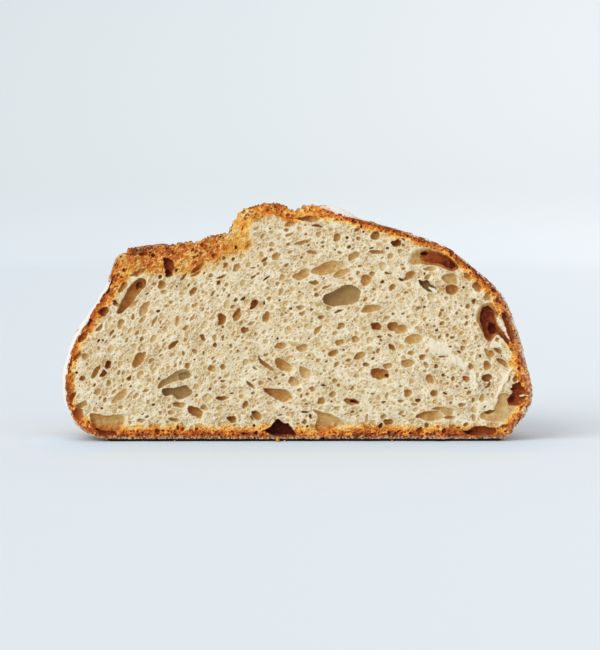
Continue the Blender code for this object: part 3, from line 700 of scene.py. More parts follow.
    def press_measured(self):
        """The holes that were read from the photo: the rounded ones, then the outlined ones. A
        small one's place is its photo pixel less that of the middle of the base at the left foot's
        level."""
        small = [(across - PHOTO_MIDDLE, PHOTO_FOOT_LEVEL - down, *shape) for across, down, *shape
                 in SMALL_HOLES_LEFT + SMALL_HOLES_MIDDLE + SMALL_HOLES_RIGHT]
        large = HOLES_LEFT + HOLES_MIDDLE + HOLES_RIGHT
        for across, up, length, width, tilt, depth in large + small:
            x, z = in_millimetres(across, up)
            self.press_round(float(x), float(z), length * HALF / 2, width * HALF / 2, tilt, depth * HALF)
        for name, (depth, points) in OUTLINED_HOLES.items():
            self.press_outlined(points, depth * HALF, name in OPEN_TO_THE_LEFT, name in GREY_SHADED,
                                name in BROWNED)

    def press_crust_pits(self):
        """Small pits inside the crust, darkened with painted shade as the holes are: along the arch
        they lie with the edge, and along the base they are rounder."""
        along = self.random.uniform(2, OUTLINE.length - 2, ARCH_PITS)
        x, z, out_x, out_z = OUTLINE.at(along)
        inset = 0.7 + self.random.uniform(0, 0.55, ARCH_PITS) * OUTLINE.baked_width(along)
        lying = np.degrees(np.arctan2(-out_x, out_z)) + self.random.normal(0, 18, ARCH_PITS)
        x, z = x - inset * out_x, z - inset * out_z
        half_length = self.random.uniform(0.35, 1.3, ARCH_PITS)
        half_width = half_length * self.random.uniform(0.4, 0.8, ARCH_PITS)
        depth = self.random.uniform(0.8, 2.5, ARCH_PITS)
        for pit in zip(x, z, half_length, half_width, lying, depth):
            self.press_round(*pit)
        x = self.random.uniform(-94, 97, BASE_PITS)
        z = self.random.uniform(1.6, 5.4, BASE_PITS)
        half_length = self.random.uniform(0.3, 0.85, BASE_PITS)
        half_width = half_length * self.random.uniform(0.6, 1, BASE_PITS)
        depth = self.random.uniform(0.8, 2.5, BASE_PITS)
        for pit in zip(x, z, half_length, half_width, np.zeros(BASE_PITS), depth):
            self.press_round(*pit)

    def flow(self, x):
        """How the long holes tilt across the loaf, in degrees: steep up the left wall, level in
        the middle and down along the right wall."""
        return np.interp(x, FLOW_PLACES, FLOW_TILTS)

    def press_filling(self):
        """Seeded hollows, the larger first, each only where it stays clear of those before it."""
        for tries, least, most, shallow, deep in FILLING:
            x = self.random.uniform(-116, 116, tries)
            z = self.random.uniform(1, 117, tries)
            half_length = least + (most - least) * self.random.uniform(0, 1, tries) ** 1.6
            half_width = half_length * self.random.uniform(0.45, 0.95, tries)
            tilt = self.flow(x) + self.random.normal(0, 20, tries)
            depth = shallow + (deep - shallow) * self.random.uniform(0, 1, tries) ** 2.2
            depth = depth + 1.7 * (self.random.uniform(0, 1, tries) < 0.045 * min(most, 1))
            end_x = 0.8 * half_length * np.cos(np.radians(tilt))
            end_z = 0.8 * half_length * np.sin(np.radians(tilt))
            for i in range(tries):
                row = int((z[i] - self.low_z) / RASTER_STEP)
                column = int((x[i] - self.low_x) / RASTER_STEP)
                if self.inside[row, column] < 0.5 + 0.8 * half_length[i]:
                    continue
                clear = min(self.edge[int((z[i] + side * end_z[i] - self.low_z) / RASTER_STEP),
                                      int((x[i] + side * end_x[i] - self.low_x) / RASTER_STEP)]
                            for side in (-1, 0, 1))
                if clear > half_width[i] * 0.8 + 0.1:
                    self.press_round(x[i], z[i], half_length[i], half_width[i], tilt[i], depth[i])

    def lay_foam(self):
        """Shallow cells of three sizes between the holes, leaning as the dough was stretched:
        the more open a cell is, the deeper it is and the darker its painted shade, and its border stays
        pale."""
        cover = np.zeros_like(self.x)
        relief = np.zeros_like(self.x)
        for low_x, high_x, lean in FOAM_LEANS:
            window = self.window(low_x - FOAM_OVERLAP, high_x + FOAM_OVERLAP, -1, 121)
            x, z = self.x[window], self.z[window]
            weight = (smoothstep(low_x - FOAM_OVERLAP / 2, low_x + FOAM_OVERLAP / 2, x)
                      * smoothstep(high_x + FOAM_OVERLAP / 2, high_x - FOAM_OVERLAP / 2, x))
            along, cross = along_and_across(x, z, math.radians(lean))
            along, cross = along / FOAM_STRETCH, cross * FOAM_STRETCH ** 0.5
            foam = np.zeros_like(x)
            sunk = np.zeros_like(x)
            for size, share, tone, depth, seed in FOAM:
                bent_along = along / size + 0.22 * self.jitter[0][window] / size ** 0.5
                bent_cross = cross / size + 0.22 * self.jitter[1][window] / size ** 0.5
                border, value = cells(bent_along, bent_cross, seed)
                opened = np.clip((value - 1 + share) / share, 0, 1) ** 0.7
                fill = opened * smoothstep(0.03, 0.2, border)
                foam = np.maximum(foam, tone * fill)
                sunk = sunk + depth * fill
            cover[window] += weight * foam
            relief[window] += weight * sunk
        clear = smoothstep(0.0, 0.35, self.edge)
        # Painted shade of the open foam cells, added to the tone, and more of it inside the hollows
        foam_shade = cover * (0.35 + 0.65 * clear) * (1 + 0.5 * self.baked)
        in_hollow = smoothstep(0.0, -0.8, self.edge) * (self.tone < 1.0)
        self.tone = np.maximum(self.tone, foam_shade) + in_hollow * (0.45 * cover - 0.08)
        self.depth = self.depth + relief * clear
        pale_walls = smoothstep(0.16, 0.0, self.tone) * smoothstep(0.5, 1.6, self.inside)
        self.baked = self.baked * (1 - 0.34 * pale_walls * smoothstep(13, 9, self.width))

    def bake(self):
        """How baked the bread is, from 0 in the crumb to 1 at the outer skin: one less the
        distance to the edge as a share of the baked width there, uneven by noise. Under the torn
        band and the ear it stays golden up to the edge and ends sooner."""
        uneven = 0.16 * layered_noise([self.x / 4, self.z / 4], 3, 41)
        share = self.from_arch / self.width
        from_arch = 1 - share
        torn = (smoothstep(-96, -86, self.x) * smoothstep(26, 6, self.x) * smoothstep(72, 86, self.z))
        patches = layered_noise([self.x / 6, self.z / 5], 3, 45)
        level = 0.545 - 0.105 * smoothstep(-88, -30, self.x) + 0.10 * smoothstep(-28, -18, self.x)
        uneven_level = 0.24 - 0.12 * smoothstep(-40, -28, self.x)
        opened = np.clip(level + uneven_level * patches, 0.49, 0.85)
        opened = opened * smoothstep(1.25, 0.60, share + 0.8 * uneven)
        from_arch = from_arch + (opened - from_arch) * torn
        # Painted glow: a golden zone below the ear, as if light shone through the thin crust
        amber_glow = np.exp(-((self.x + 30) / 6) ** 4 - ((self.z - 101.5) / 7) ** 4)
        corner = 1.15 * np.exp(-((self.x + 80) / 6) ** 4 - ((self.z - 95.5) / 4.6) ** 4)
        self.amber_glow = amber_glow
        from_arch = np.maximum(from_arch + (0.41 - from_arch) * amber_glow, corner * (0.97 + 0.2 * patches))
        right = smoothstep(60, 95, self.x) * smoothstep(84, 70, self.z)
        left = smoothstep(-94, -103, self.x) * smoothstep(88, 76, self.z)
        from_arch = np.minimum(from_arch, 1 - 0.28 * right - 0.22 * left)
        from_base = 1.18 - self.z / BAKED_BASE
        return np.clip(np.maximum(from_arch, from_base) + uneven * np.clip(self.width / 9, 0.6, 1.2), 0, 1)

    def build(self):
        """Bakes the raster, presses all holes into it, then roughens the torn crust and adds the
        contact shade, the flaps, the folds and the flour."""
        self.inside = np.minimum(self.from_arch, np.maximum(self.z, 0))
        self.baked = self.bake()
        self.press_measured()
        self.press_crust_pits()
        self.press_filling()
        self.lay_foam()
        self.tear_crust()
        contact = smoothstep(1.6, 1.15, self.z + 0.15 * self.jitter[0])
        self.tone = np.maximum(self.tone, CONTACT_TONE * contact)
        for across, up, length, width, tilt, height in FLAPS:
            self.lay_flap(across, up, length * HALF / 2, width * HALF / 2, tilt, height)
        self.raise_folds()
        self.roughen()
        self.flour, self.skin = self.dusted()

    def tear_crust(self):
        """Pale strands with sunken gaps between them where the crust is torn open, the gaps darkened
        with painted shade: a strand lies where a noise drawn out along STRAND_LEAN is near zero. All
        baked crust gets a sponge of small noise, sunk and darkened with painted shade in its pits."""
        torn = smoothstep(9, 13, self.width) * smoothstep(0.1, 0.4, self.baked)
        along, cross = along_and_across(self.x, self.z, STRAND_LEAN)
        along, cross = along / 2.0 + 0.3 * self.jitter[0], cross / 1.25 + 0.3 * self.jitter[1]
        strand = smoothstep(0.26, 0.06, np.abs(layered_noise([along, cross], 2, 51)))
        open_crust = smoothstep(0.0, 0.3, self.edge)
        sponge = layered_noise([self.x / 0.9, self.z / 0.9], 2, 61)
        # Painted shade in the gaps between the strands and in the pits of the sponge
        self.tone = self.tone * (1 - 0.5 * torn * strand * open_crust)
        self.tone = np.maximum(self.tone, torn * (0.34 - 0.6 * strand))
        self.baked = self.baked - 0.09 * torn * strand * smoothstep(0.98, 0.8, self.baked)
        # Mask of the painted highlight on the strands, over their own paler colour
        self.strands = torn * strand * open_crust * smoothstep(0.98, 0.85, self.baked)
        self.tone = self.tone + self.baked * (0.16 * sponge + 0.02)
        self.depth = self.depth + torn * 0.55 * (1 - strand)
        self.depth = self.depth + self.baked * 0.3 * (sponge + 0.4)

    def raise_folds(self):
        """Pale patches of crumb and, at the right, raised folds: ridges where a noise drawn out
        along FOLD_LEAN is near zero. Both get the painted highlight that the holes' edges get."""
        bright = smoothstep(0.25, 0.8, layered_noise([self.x / 3.2, self.z / 3.2], 3, 85))
        bright = bright * smoothstep(0.2, 0.05, self.tone)
        fold_along, fold_cross = along_and_across(self.x, self.z, FOLD_LEAN)
        fold_along = fold_along / 8 + 0.12 * self.jitter[0]
        fold_cross = fold_cross / 2.6 + 0.12 * self.jitter[1]
        ridge = np.clip(1.2 - 4.5 * np.abs(layered_noise([fold_along, fold_cross], 2, 87)), 0, 1)
        at_right = np.exp(-((self.x - 86) / 17) ** 4 - ((self.z - 40) / 22) ** 4)
        ridge = ridge * at_right * smoothstep(0.4, 0.15, self.tone)
        bright = np.maximum(bright, ridge)
        self.depth = self.depth - 0.7 * ridge
        # Painted highlight: a thin band along the edges of holes and flaps, the pale patches and the fold
        # ridges
        self.rim_highlight = np.maximum(np.exp(-((self.edge - 0.18) / 0.2) ** 2), bright)

    def roughen(self):
        """Fine roughness, wide folds and uneven tone over all the face, which ends level at the
        edge and draws back at the foot."""
        self.depth = self.depth + 0.06 * layered_noise([self.x / 0.8, self.z / 0.8], 2, 71)
        folds = layered_noise([self.x / 8, self.z / 8], 2, 81)
        self.depth = self.depth + (0.35 + 0.5 * smoothstep(30, 70, self.x)) * folds
        self.tone = self.tone + 0.07 * np.clip(layered_noise([self.x / 5, self.z / 5], 2, 83), -0.5, 1)
        self.depth = self.depth * smoothstep(0, 0.8, self.inside)
        self.depth = self.depth + foot_rounding(self.z)

    def lay_flap(self, across, up, half_length, half_width, tilt, height):
        """A thin pale flap: within its ellipse the hollow is filled up to a little proud, its painted
        shade is taken away and it gets the painted highlight of the holes' edges.
        """
        x, z = in_millimetres(across, up)
        reach = half_length + half_width + 0.6
        window = self.window(x - reach, x + reach, z - reach, z + reach)
        off_x = self.x[window] - x + 0.25 * self.jitter[0][window]
        off_z = self.z[window] - z + 0.25 * self.jitter[1][window]
        along, cross = along_and_across(off_x, off_z, math.radians(tilt))
        q = np.hypot(along / half_length, cross / half_width)
        torn = layered_noise([self.x[window] / 1.7, self.z[window] / 1.7], 2, 89)
        on = smoothstep(1.15, 0.75, q + 0.45 * torn * smoothstep(1.2, 2.5, half_length))
        self.depth[window] = self.depth[window] * (1 - on) - height * on
        self.tone[window] *= 1 - on * np.where(half_width > 1.5, 0.75, 1)
        # Painted highlight over the flap: it takes the edge value at which holes get theirs
        self.edge[window] = np.where(on > 0.5, 0.18, self.edge[window])
        self.baked[window] *= 1 - 0.8 * on

    def dusted(self):
        """Where flour lies on the cut edge, at the torn corner and in flecks along the left wall,
        and where the pale, dusty outer skin shows: along the base and round its two corners."""
        flecks = layered_noise([self.x / 1.1, self.z / 1.1], 2, 91)
        flecked = smoothstep(-0.1, 0.5, flecks)
        corner = np.exp(-((self.x + 80) / 6) ** 2 - ((self.z - 96) / 3) ** 2)
        left = smoothstep(0.9, 0.2, self.from_arch) * smoothstep(-88, -98, self.x)
        right = smoothstep(2.4, 0.8, self.from_arch) * smoothstep(96, 104, self.x)
        right = right * smoothstep(20, 34, self.z) * smoothstep(-0.1, 0.35, flecks)
        spots = (np.exp(-((self.x - 94.5) / 2.6) ** 2 - ((self.z - 79) / 2.6) ** 2)
                 + np.exp(-((self.x - 100.5) / 1.8) ** 2 - ((self.z - 71) / 2.2) ** 2))
        flour = 0.15 * corner * flecked + 0.7 * left * flecked + 0.6 * right + 0.9 * spots * flecked
        flour = np.clip(flour, 0, 1)
        fine = layered_noise([self.x / 0.8, self.z / 0.8], 2, 95)
        base = smoothstep(3.1, 2.1, self.z + 0.6 * flecks) * smoothstep(0.8, 1.2, self.z)
        round_corner = smoothstep(1.5, 0.5, self.from_arch + 0.4 * flecks) * smoothstep(30, 14, self.z)
        right = smoothstep(3.4, 1.2, self.from_arch + 0.8 * flecks) * smoothstep(60, 95, self.x)
        right = 0.9 * right * smoothstep(82, 66, self.z)
        skin = np.maximum(np.maximum(base, round_corner), right) * smoothstep(-0.75, 0.15, fine)
        return flour, np.clip(skin, 0, 1)


def corner_blend(bottom, top, left, right):
    """Points of a sheet between four edge curves: the blend from bottom to top and the blend
    from left to right, added, less the blend of the four corners."""
    across = np.linspace(0, 1, len(bottom))[None, :, None]
    up = np.linspace(0, 1, len(left))[:, None, None]
    upward = bottom[None] * (1 - up) + top[None] * up
    sideways = left[:, None] * (1 - across) + right[:, None] * across
    corners = ((bottom[0] * (1 - across) + bottom[-1] * across) * (1 - up)
               + (top[0] * (1 - across) + top[-1] * across) * up)
    return upward + sideways - corners


def evenly(points, count):
    """The same line with its points evenly spaced."""
    travelled = np.concatenate([[0], np.cumsum(np.linalg.norm(np.diff(points, axis=0), axis=1))])
    at = np.linspace(0, travelled[-1], count)
    return np.stack([np.interp(at, travelled, points[:, k]) for k in (0, 1)], axis=1)


def edge_between(start, end, count=1500):
    """Points of the ragged edge between two distances along the arch."""
    return np.stack(OUTLINE.broken(np.linspace(start, end, count)), axis=1)


def face_places():
    """x and z of the cut face's grid, from four stretches of the ragged outline."""
    low_left, top_left, top_right, low_right = (OUTLINE.nearest(*corner) for corner in FACE_CORNERS)
    bottom = np.vstack([edge_between(low_left, 0, 60), edge_between(OUTLINE.length, low_right, 60)])
    sheet = corner_blend(evenly(bottom, FACE_COLUMNS + 1),
                         evenly(edge_between(top_left, top_right), FACE_COLUMNS + 1),
                         evenly(edge_between(low_left, top_left), FACE_ROWS + 1),
                         evenly(edge_between(low_right, top_right), FACE_ROWS + 1))
    return sheet[..., 0], sheet[..., 1]


def directions(x, y, z):
    """Outward direction at each grid point: the cross product of the steps to its neighbours."""
    places = np.stack([x, y, z], axis=-1)
    normal = np.cross(np.gradient(places, axis=1), np.gradient(places, axis=0))
    size = np.linalg.norm(normal, axis=-1, keepdims=True)
    return normal / np.maximum(size, 1e-12)


class Placed:
    """Where the body's own millimetres lie in the frame: the cut plane is the front of the CAD
    box, and the left side of the body is its left side."""

    def __init__(self):
        along = np.linspace(0, OUTLINE.length, 400)
        cut_x, cut_z, _, _ = OUTLINE.at(along)
        x, _, _ = body(cut_x[None], cut_z[None], np.sin(np.linspace(0, 1.5, 200))[:, None])
        self.shift_x = ((cad_low.x + cad_high.x) / MM - (x.min() + x.max())) / 2
        self.shift_y = cad_low.y / MM

    def in_metres(self, x, y, z):
        return np.stack([x + self.shift_x, y + self.shift_y, z], axis=-1) * MM


PLACED = Placed()


def add_piece(name, material, mesh):
    """A piece of the loaf at the origin, in place of the plain solid."""
    thing = bpy.data.objects.new(name, mesh)
    mesh.materials.append(material)
    bpy.context.scene.collection.objects.link(thing)
    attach(thing, "root")
    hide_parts(NODE)
    return thing


def grid_mesh(name, places, normals, attributes):
    """A sheet of quads over the grid of places, in metres, with the given normals."""
    rows, columns = places.shape[:2]
    number = np.arange(rows * columns).reshape(rows, columns)
    quads = np.stack([number[:-1, :-1], number[:-1, 1:], number[1:, 1:], number[1:, :-1]], axis=-1)
    quads = quads.reshape(-1, 4)
    mesh = bpy.data.meshes.new(name)
    mesh.vertices.add(rows * columns)
    mesh.vertices.foreach_set("co", places.astype(np.float32).ravel())
    mesh.loops.add(quads.size)
    mesh.loops.foreach_set("vertex_index", quads.astype(np.int32).ravel())
    mesh.polygons.add(len(quads))
    mesh.polygons.foreach_set("loop_start", np.arange(0, quads.size, 4, dtype=np.int32))
    mesh.update(calc_edges=True)
    mesh.shade_smooth()
    across, up = np.meshgrid(np.linspace(0, 1, columns), np.linspace(0, 1, rows))
    spread = np.stack([across.ravel(), up.ravel()], axis=1)[quads.ravel()]
    mesh.uv_layers.new(name="sheet").uv.foreach_set("vector", spread.astype(np.float32).ravel())
    for attribute, values in attributes.items():
        layer = mesh.attributes.new(attribute, "FLOAT", "POINT")
        layer.data.foreach_set("value", values.astype(np.float32).ravel())
    mesh.normals_split_custom_set_from_vertices(normals.reshape(-1, 3))
    return mesh


def make_crumb(material):
    """The cut face in panels: a grid of columns and rows between the four stretches of the edge,
    as deep at each point as the raster of holes says."""
    face = CutFace()
    face.build()
    x, z = face_places()
    y = face.sample(face.depth, x, z)
    normals = directions(x, y, z)
    places = PLACED.in_metres(x, y, z)
    masks = {name: face.sample(field, x, z) for name, field in (
        ("hollow", face.tone), ("bake", face.baked), ("rim_highlight", face.rim_highlight), ("flour", face.flour),
        ("skin", face.skin), ("strands", face.strands), ("grey", face.grey),
        ("amber_glow", face.amber_glow))}
    width = FACE_COLUMNS // FACE_PANELS
    for panel in range(FACE_PANELS):
        part = (slice(None), slice(panel * width, (panel + 1) * width + 1))
        mesh = grid_mesh(f"cut_face_{panel + 1}", places[part], normals[part],
                         {name: mask[part] for name, mask in masks.items()})
        add_piece(f"cut_face_{panel + 1}", material, mesh)


def crust_relief(x, y, z, cut_x, cut_z, back):
    """Height of the crust's fine relief and its masks: torn strands along the score band,
    blisters and grain over the rest."""
    fading = 1 - smoothstep(SCORE_FADE[0], SCORE_FADE[1], back)
    wander = 1.5 * noise([cut_x / 9, y / 14], 101)
    left_edge, right_edge = BAND_EDGES
    frayed = cut_x + 3 * noise([y / 6, np.zeros_like(y)], 102)
    band = (smoothstep(left_edge - 3, left_edge + 3, frayed)
            * (1 - smoothstep(right_edge - 2, right_edge + 3, cut_x))
            * smoothstep(70, 85, cut_z) * fading)
    strands = np.abs(layered_noise([cut_x / 2.6 + wander, y / 9], 3, 103)) * 1.5
    lumps_small = layered_noise([x / 3.4, y / 3.4, z / 3.4], 3, 104)
    blister = smoothstep(0.35, 0.8, noise([x / 4.5, y / 4.5, z / 4.5], 105)) + 0.5 * smoothstep(
        0.3, 0.7, noise([x / 2.2, y / 2.2, z / 2.2], 106))
    grain = layered_noise([x / 1.1, y / 1.1, z / 1.1], 2, 107)
    smooth_side = (1 - band) * (0.42 * blister + 0.08 * grain + 0.22 * lumps_small)
    height = smooth_side + band * (0.9 * (strands - 0.5) + 0.35 * lumps_small + 0.15 * grain)
    return height, band, strands, blister


def crust_flour(x, y, z, cut_x, band):
    """Flour dusted on the crust: thick on the left side and along the shoulder beside the ear,
    thin elsewhere, broken into patches by noise, and none in the torn band."""
    patches = layered_noise([x / 21, y / 21, z / 21], 4, 111)
    small = layered_noise([x / 8, y / 8, z / 8], 3, 112)
    left_side = smoothstep(-80, -98, x) * smoothstep(4, 16, z) * smoothstep(84, 72, z)
    left_side = left_side * (0.12 + 0.72 * smoothstep(34, 6, y + 14 * small) + 0.45 * small)
    by_the_ear = np.exp(-((cut_x - 22) / 9) ** 2) * smoothstep(80, 100, z)
    by_the_ear = by_the_ear * smoothstep(52, 14, y + 16 * small)
    right_edge = np.exp(-((cut_x - 95) / 6) ** 2) * smoothstep(58, 66, z) * np.exp(-y / 20)
    amount = 0.36 + 0.30 * patches + 0.12 * small + 0.8 * left_side + 0.6 * by_the_ear + 0.3 * right_edge
    return np.clip(amount, 0, 1) * (1 - band) * smoothstep(1, 6, z)


def make_crust(material):
    """The crust: the body's own formula over a grid of places round the outline and base and of
    steps to the back, with the ragged edge, the dropped torn band, the lifted shoulder beside the
    ear and the fine relief added along the outward direction. Its first row tucks in behind the
    cut face."""
    angles = np.linspace(0, math.pi / 2, CRUST_ROWS + 1)
    back = np.sin(angles)[:, None]
    along = np.linspace(0, OUTLINE.length, CRUST_COLUMNS + 1)
    cut_x, cut_z, out_x, out_z = OUTLINE.at(along)
    base_x = np.linspace(cut_x[-1], cut_x[0], BASE_COLUMNS + 1)
    ring_x = np.concatenate([cut_x, base_x[1:]])
    ring_z = np.concatenate([cut_z, np.zeros(BASE_COLUMNS)])
    x, y, z = body(ring_x[None], ring_z[None], back)
    outward = directions(x, y, z)
    outward[-1] = (0, 1, 0)
    level = np.zeros(BASE_COLUMNS)
    ring_out_x, ring_out_z = np.concatenate([out_x, level]), np.concatenate([out_z, level])
    height, band, strands, blister = crust_relief(x, y, z, ring_x[None], ring_z[None], back)
    behind = smoothstep(0, 5, y)
    off_base = smoothstep(1, 7, z)
    height = height * behind * off_base
    edge = np.zeros_like(x)
    edge[:, :CRUST_COLUMNS + 1] = OUTLINE.ragged(along)[None]
    edge = edge * np.exp(-y / 1.4)
    lift_x, lift_z = ring_out_x * edge, ring_out_z * edge
    flour = crust_flour(x, y, z, ring_x[None], band)
    near_cut = np.exp(-y / 7) * (1 - band)
    corner = smoothstep(-70, -76, ring_x)[None] * band * np.exp(-y / 15)
    beside_ear = np.exp(-((ring_x - LIFT_MIDDLE) / LIFT_REACH) ** 2)[None]
    z = z + SHOULDER_LIFT * (beside_ear * smoothstep(0, 7, y) * np.exp(-y / 40) * smoothstep(80, 95, z))
    ear = (smoothstep(-40, -34, ring_x) * smoothstep(12, 2, ring_x))[None] * smoothstep(85, 95, z)
    torn_lip = band + ear
    drop = TORN_DROP * (1 - np.exp(-y / 1.5)) * np.exp(-y / 30) + 0.07 * y * np.exp(-y / 40)
    drop = drop * np.clip(torn_lip, 0, 1)
    x = x - ring_out_x * drop
    z = z - ring_out_z * drop
    x = x + outward[..., 0] * height + lift_x
    y = np.maximum(y + outward[..., 1] * height, 0) + foot_rounding(z) * np.exp(-y / 2)
    z = np.maximum(z + outward[..., 2] * height + lift_z, 0)
    away_z = np.concatenate([out_z, -np.ones(BASE_COLUMNS)])
    tuck = [(x[0] - TUCK_IN * ring_out_x)[None], (y[0] + TUCK_BACK)[None],
            (z[0] - TUCK_IN * away_z)[None]]
    x, y, z = (np.vstack([first, rest]) for first, rest in zip(tuck, (x, y, z)))
    masks = {"band": band, "strands": strands, "blister": blister * (1 - band), "flour": flour,
             "near_cut": near_cut, "corner": corner}
    masks = {name: np.vstack([mask[:1], mask]) for name, mask in masks.items()}
    normals = directions(x, y, z)
    normals[0] = normals[1]
    normals[-1] = (0, 1, 0)
    places = PLACED.in_metres(x, y, z)
    half = CRUST_COLUMNS // 2
    for name, columns in (("crust_left", slice(0, half + 1)),
                          ("crust_right", slice(half, CRUST_COLUMNS + 1)),
                          ("crust_base", slice(CRUST_COLUMNS, None))):
        part = (slice(None), columns)
        mesh = grid_mesh(name, places[part], normals[part],
                         {key: mask[part] for key, mask in masks.items()})
        add_piece(name, material, mesh)


def make_crumbs(material):
    """A few loose crumbs in front of the base: spheres whose radius is made uneven by noise."""
    random = np.random.default_rng(SEED + 1)
    turns = np.linspace(0, math.tau, 13)[None]
    rises = np.linspace(-math.pi / 2, math.pi / 2, 8)[:, None]
    meshes = []
    for number, (across, in_front, size) in enumerate(LOOSE_CRUMBS):
        x = np.cos(turns) * np.cos(rises)
        y = np.sin(turns) * np.cos(rises)
        z = np.sin(rises) * np.ones_like(turns)
        uneven = 1 + 0.35 * noise([x * 1.7 + 5 * number, y * 1.7, z * 1.7], 121)
        x, y, z = x * uneven * size, y * uneven * size * 0.8, z * uneven * size * 0.8
        turn = random.uniform(0, math.tau)
        x, y = x * math.cos(turn) - y * math.sin(turn), x * math.sin(turn) + y * math.cos(turn)
        meshes.append((x + across, y - in_front, z - z.min()))
    for number, (x, y, z) in enumerate(meshes):
        flat = np.zeros_like(x)
        mesh = grid_mesh(f"loose_crumb_{number + 1}", PLACED.in_metres(x, y, z), directions(x, y, z),
                         {"hollow": flat + 0.3, "bake": flat + 0.45, "rim_highlight": flat, "flour": flat,
                          "skin": flat, "strands": flat, "grey": flat, "amber_glow": flat})
        add_piece(f"loose_crumb_{number + 1}", material, mesh)


def display(red, green, blue):
    """The linear colour of a display colour given from 0 to 255."""
    shares = (red / 255, green / 255, blue / 255)
    return tuple(s / 12.92 if s < 0.04045 else ((s + 0.055) / 1.055) ** 2.4 for s in shares) + (1,)


class Nodes:
    """Puts nodes into one tree and links them."""

    def __init__(self, tree):
        self.tree = tree

    def add(self, kind, inputs=(), **settings):
        node = self.tree.nodes.new(kind)
        for name, value in settings.items():
            setattr(node, name, value)
        for name, value in dict(inputs).items():
            if isinstance(value, bpy.types.NodeSocket):
                self.tree.links.new(value, node.inputs[name])
            else:
                node.inputs[name].default_value = value
        return node

    def attribute(self, name):
        return self.add("ShaderNodeAttribute", attribute_name=name).outputs["Fac"]

    def maths(self, operation, first, second=0.0):
        return self.add("ShaderNodeMath", {0: first, 1: second}, operation=operation).outputs[0]

    def between(self, value, low, high, start=0.0, end=1.0):
        return self.add("ShaderNodeMapRange", {"Value": value, "From Min": low, "From Max": high,
                                               "To Min": start, "To Max": end},
                        interpolation_type="SMOOTHSTEP").outputs["Result"]

    def mix(self, factor, first, second):
        return self.add("ShaderNodeMix", {0: factor, 6: first, 7: second},
                        data_type="RGBA").outputs[2]

    def ramp(self, factor, stops):
        node = self.add("ShaderNodeValToRGB", {"Fac": factor})
        elements = node.color_ramp.elements
        while len(elements) < len(stops):
            elements.new(0.5)
        for element, (place, colour) in zip(elements, stops):
            element.position = place
            element.color = colour
        return node.outputs["Color"]

    def object_place(self):
        return self.add("ShaderNodeTexCoord").outputs["Object"]

    def noise(self, place, size_mm, detail=3.0):
        return self.add("ShaderNodeTexNoise", {"Vector": place, "Scale": 1000 / size_mm,
                                               "Detail": detail}).outputs["Fac"]


def new_group(name, inputs, outputs):
    """A shader node group with named inputs, their values, and named outputs."""
    tree = bpy.data.node_groups.new(name, "ShaderNodeTree")
    for label, value in inputs:
        socket = tree.interface.new_socket(label, in_out="INPUT", socket_type="NodeSocketFloat")
        socket.default_value = value
    for label in outputs:
        tree.interface.new_socket(label, in_out="OUTPUT", socket_type="NodeSocketFloat")
    nodes = Nodes(tree)
    return tree, nodes, nodes.add("NodeGroupInput"), nodes.add("NodeGroupOutput")


def fine_pores_group():
    """Small round pores in part of the cells of a cell pattern, and a soft grain."""
    tree, nodes, given, result = new_group("fine_pores", [("Size", 0.9), ("Share", 0.5)],
                                           ["Pores", "Grain"])
    place = nodes.object_place()
    scale = nodes.maths("DIVIDE", 1000.0, given.outputs["Size"])
    cells = nodes.add("ShaderNodeTexVoronoi", {"Vector": place, "Scale": scale})
    round_pore = nodes.between(cells.outputs["Distance"], 0.34, 0.18)
    chance = nodes.add("ShaderNodeSeparateColor", {"Color": cells.outputs["Color"]}).outputs["Red"]
    chosen = nodes.maths("LESS_THAN", chance, given.outputs["Share"])
    nodes.tree.links.new(nodes.maths("MULTIPLY", round_pore, chosen), result.inputs["Pores"])
    nodes.tree.links.new(nodes.noise(place, 1.6, 4), result.inputs["Grain"])
    return tree


def flour_dust_group():
    """Flour that lies in fine grains: the amount decides how many of the grains of a noise are
    covered."""
    tree, nodes, given, result = new_group("flour_dust", [("Amount", 0.5)], ["Cover"])
    place = nodes.object_place()
    fine = nodes.noise(place, 0.8, 4)
    coarse = nodes.noise(place, 5.0, 3)
    level = nodes.maths("ADD", nodes.maths("MULTIPLY", fine, 0.6), nodes.maths("MULTIPLY", coarse, 0.4))
    threshold = nodes.maths("SUBTRACT", 0.86, nodes.maths("MULTIPLY", given.outputs["Amount"], 0.72))
    above = nodes.maths("SUBTRACT", level, threshold)
    nodes.tree.links.new(nodes.between(above, -0.07, 0.13), result.inputs["Cover"])
    return tree


# Crumb from its own cream at 0 to the painted shade of deep holes, by the tone over TONE_SPAN
CRUMB_SHADE_TONES = [(0.0, display(237, 222, 190)), (0.10, display(225, 204, 163)),
               (0.20, display(210, 181, 127)), (0.32, display(196, 157, 97)),
               (0.46, display(182, 130, 66)), (0.62, display(165, 102, 42)),
               (0.80, display(150, 75, 25)), (0.92, display(134, 50, 12)), (1.0, display(84, 16, 5))]
BAKED_TONES = [(0.0, display(234, 221, 188)), (0.16, display(238, 209, 144)),
               (0.34, display(246, 194, 92)), (0.54, display(242, 155, 62)),
               (0.74, display(212, 110, 43)), (0.90, display(140, 76, 38)), (1.0, display(90, 65, 44))]
SMOOTH_CRUST_TONES = [(0.32, display(96, 54, 28)), (0.44, display(142, 84, 42)),
                      (0.55, display(178, 114, 60)), (0.70, display(210, 152, 92))]
TORN_CRUST_TONES = [(0.10, display(140, 70, 30)), (0.35, display(172, 96, 42)),
                    (0.62, display(204, 128, 62)), (0.9, display(226, 166, 96))]
CONTACT_SHADE = display(28, 19, 14)
# Grey painted shade of hollows that light does not reach
GREY_HOLLOW_SHADE = display(148, 130, 86)
# Painted highlight on the edges of holes, flaps, folds and pale patches
RIM_HIGHLIGHT = display(244, 235, 212)
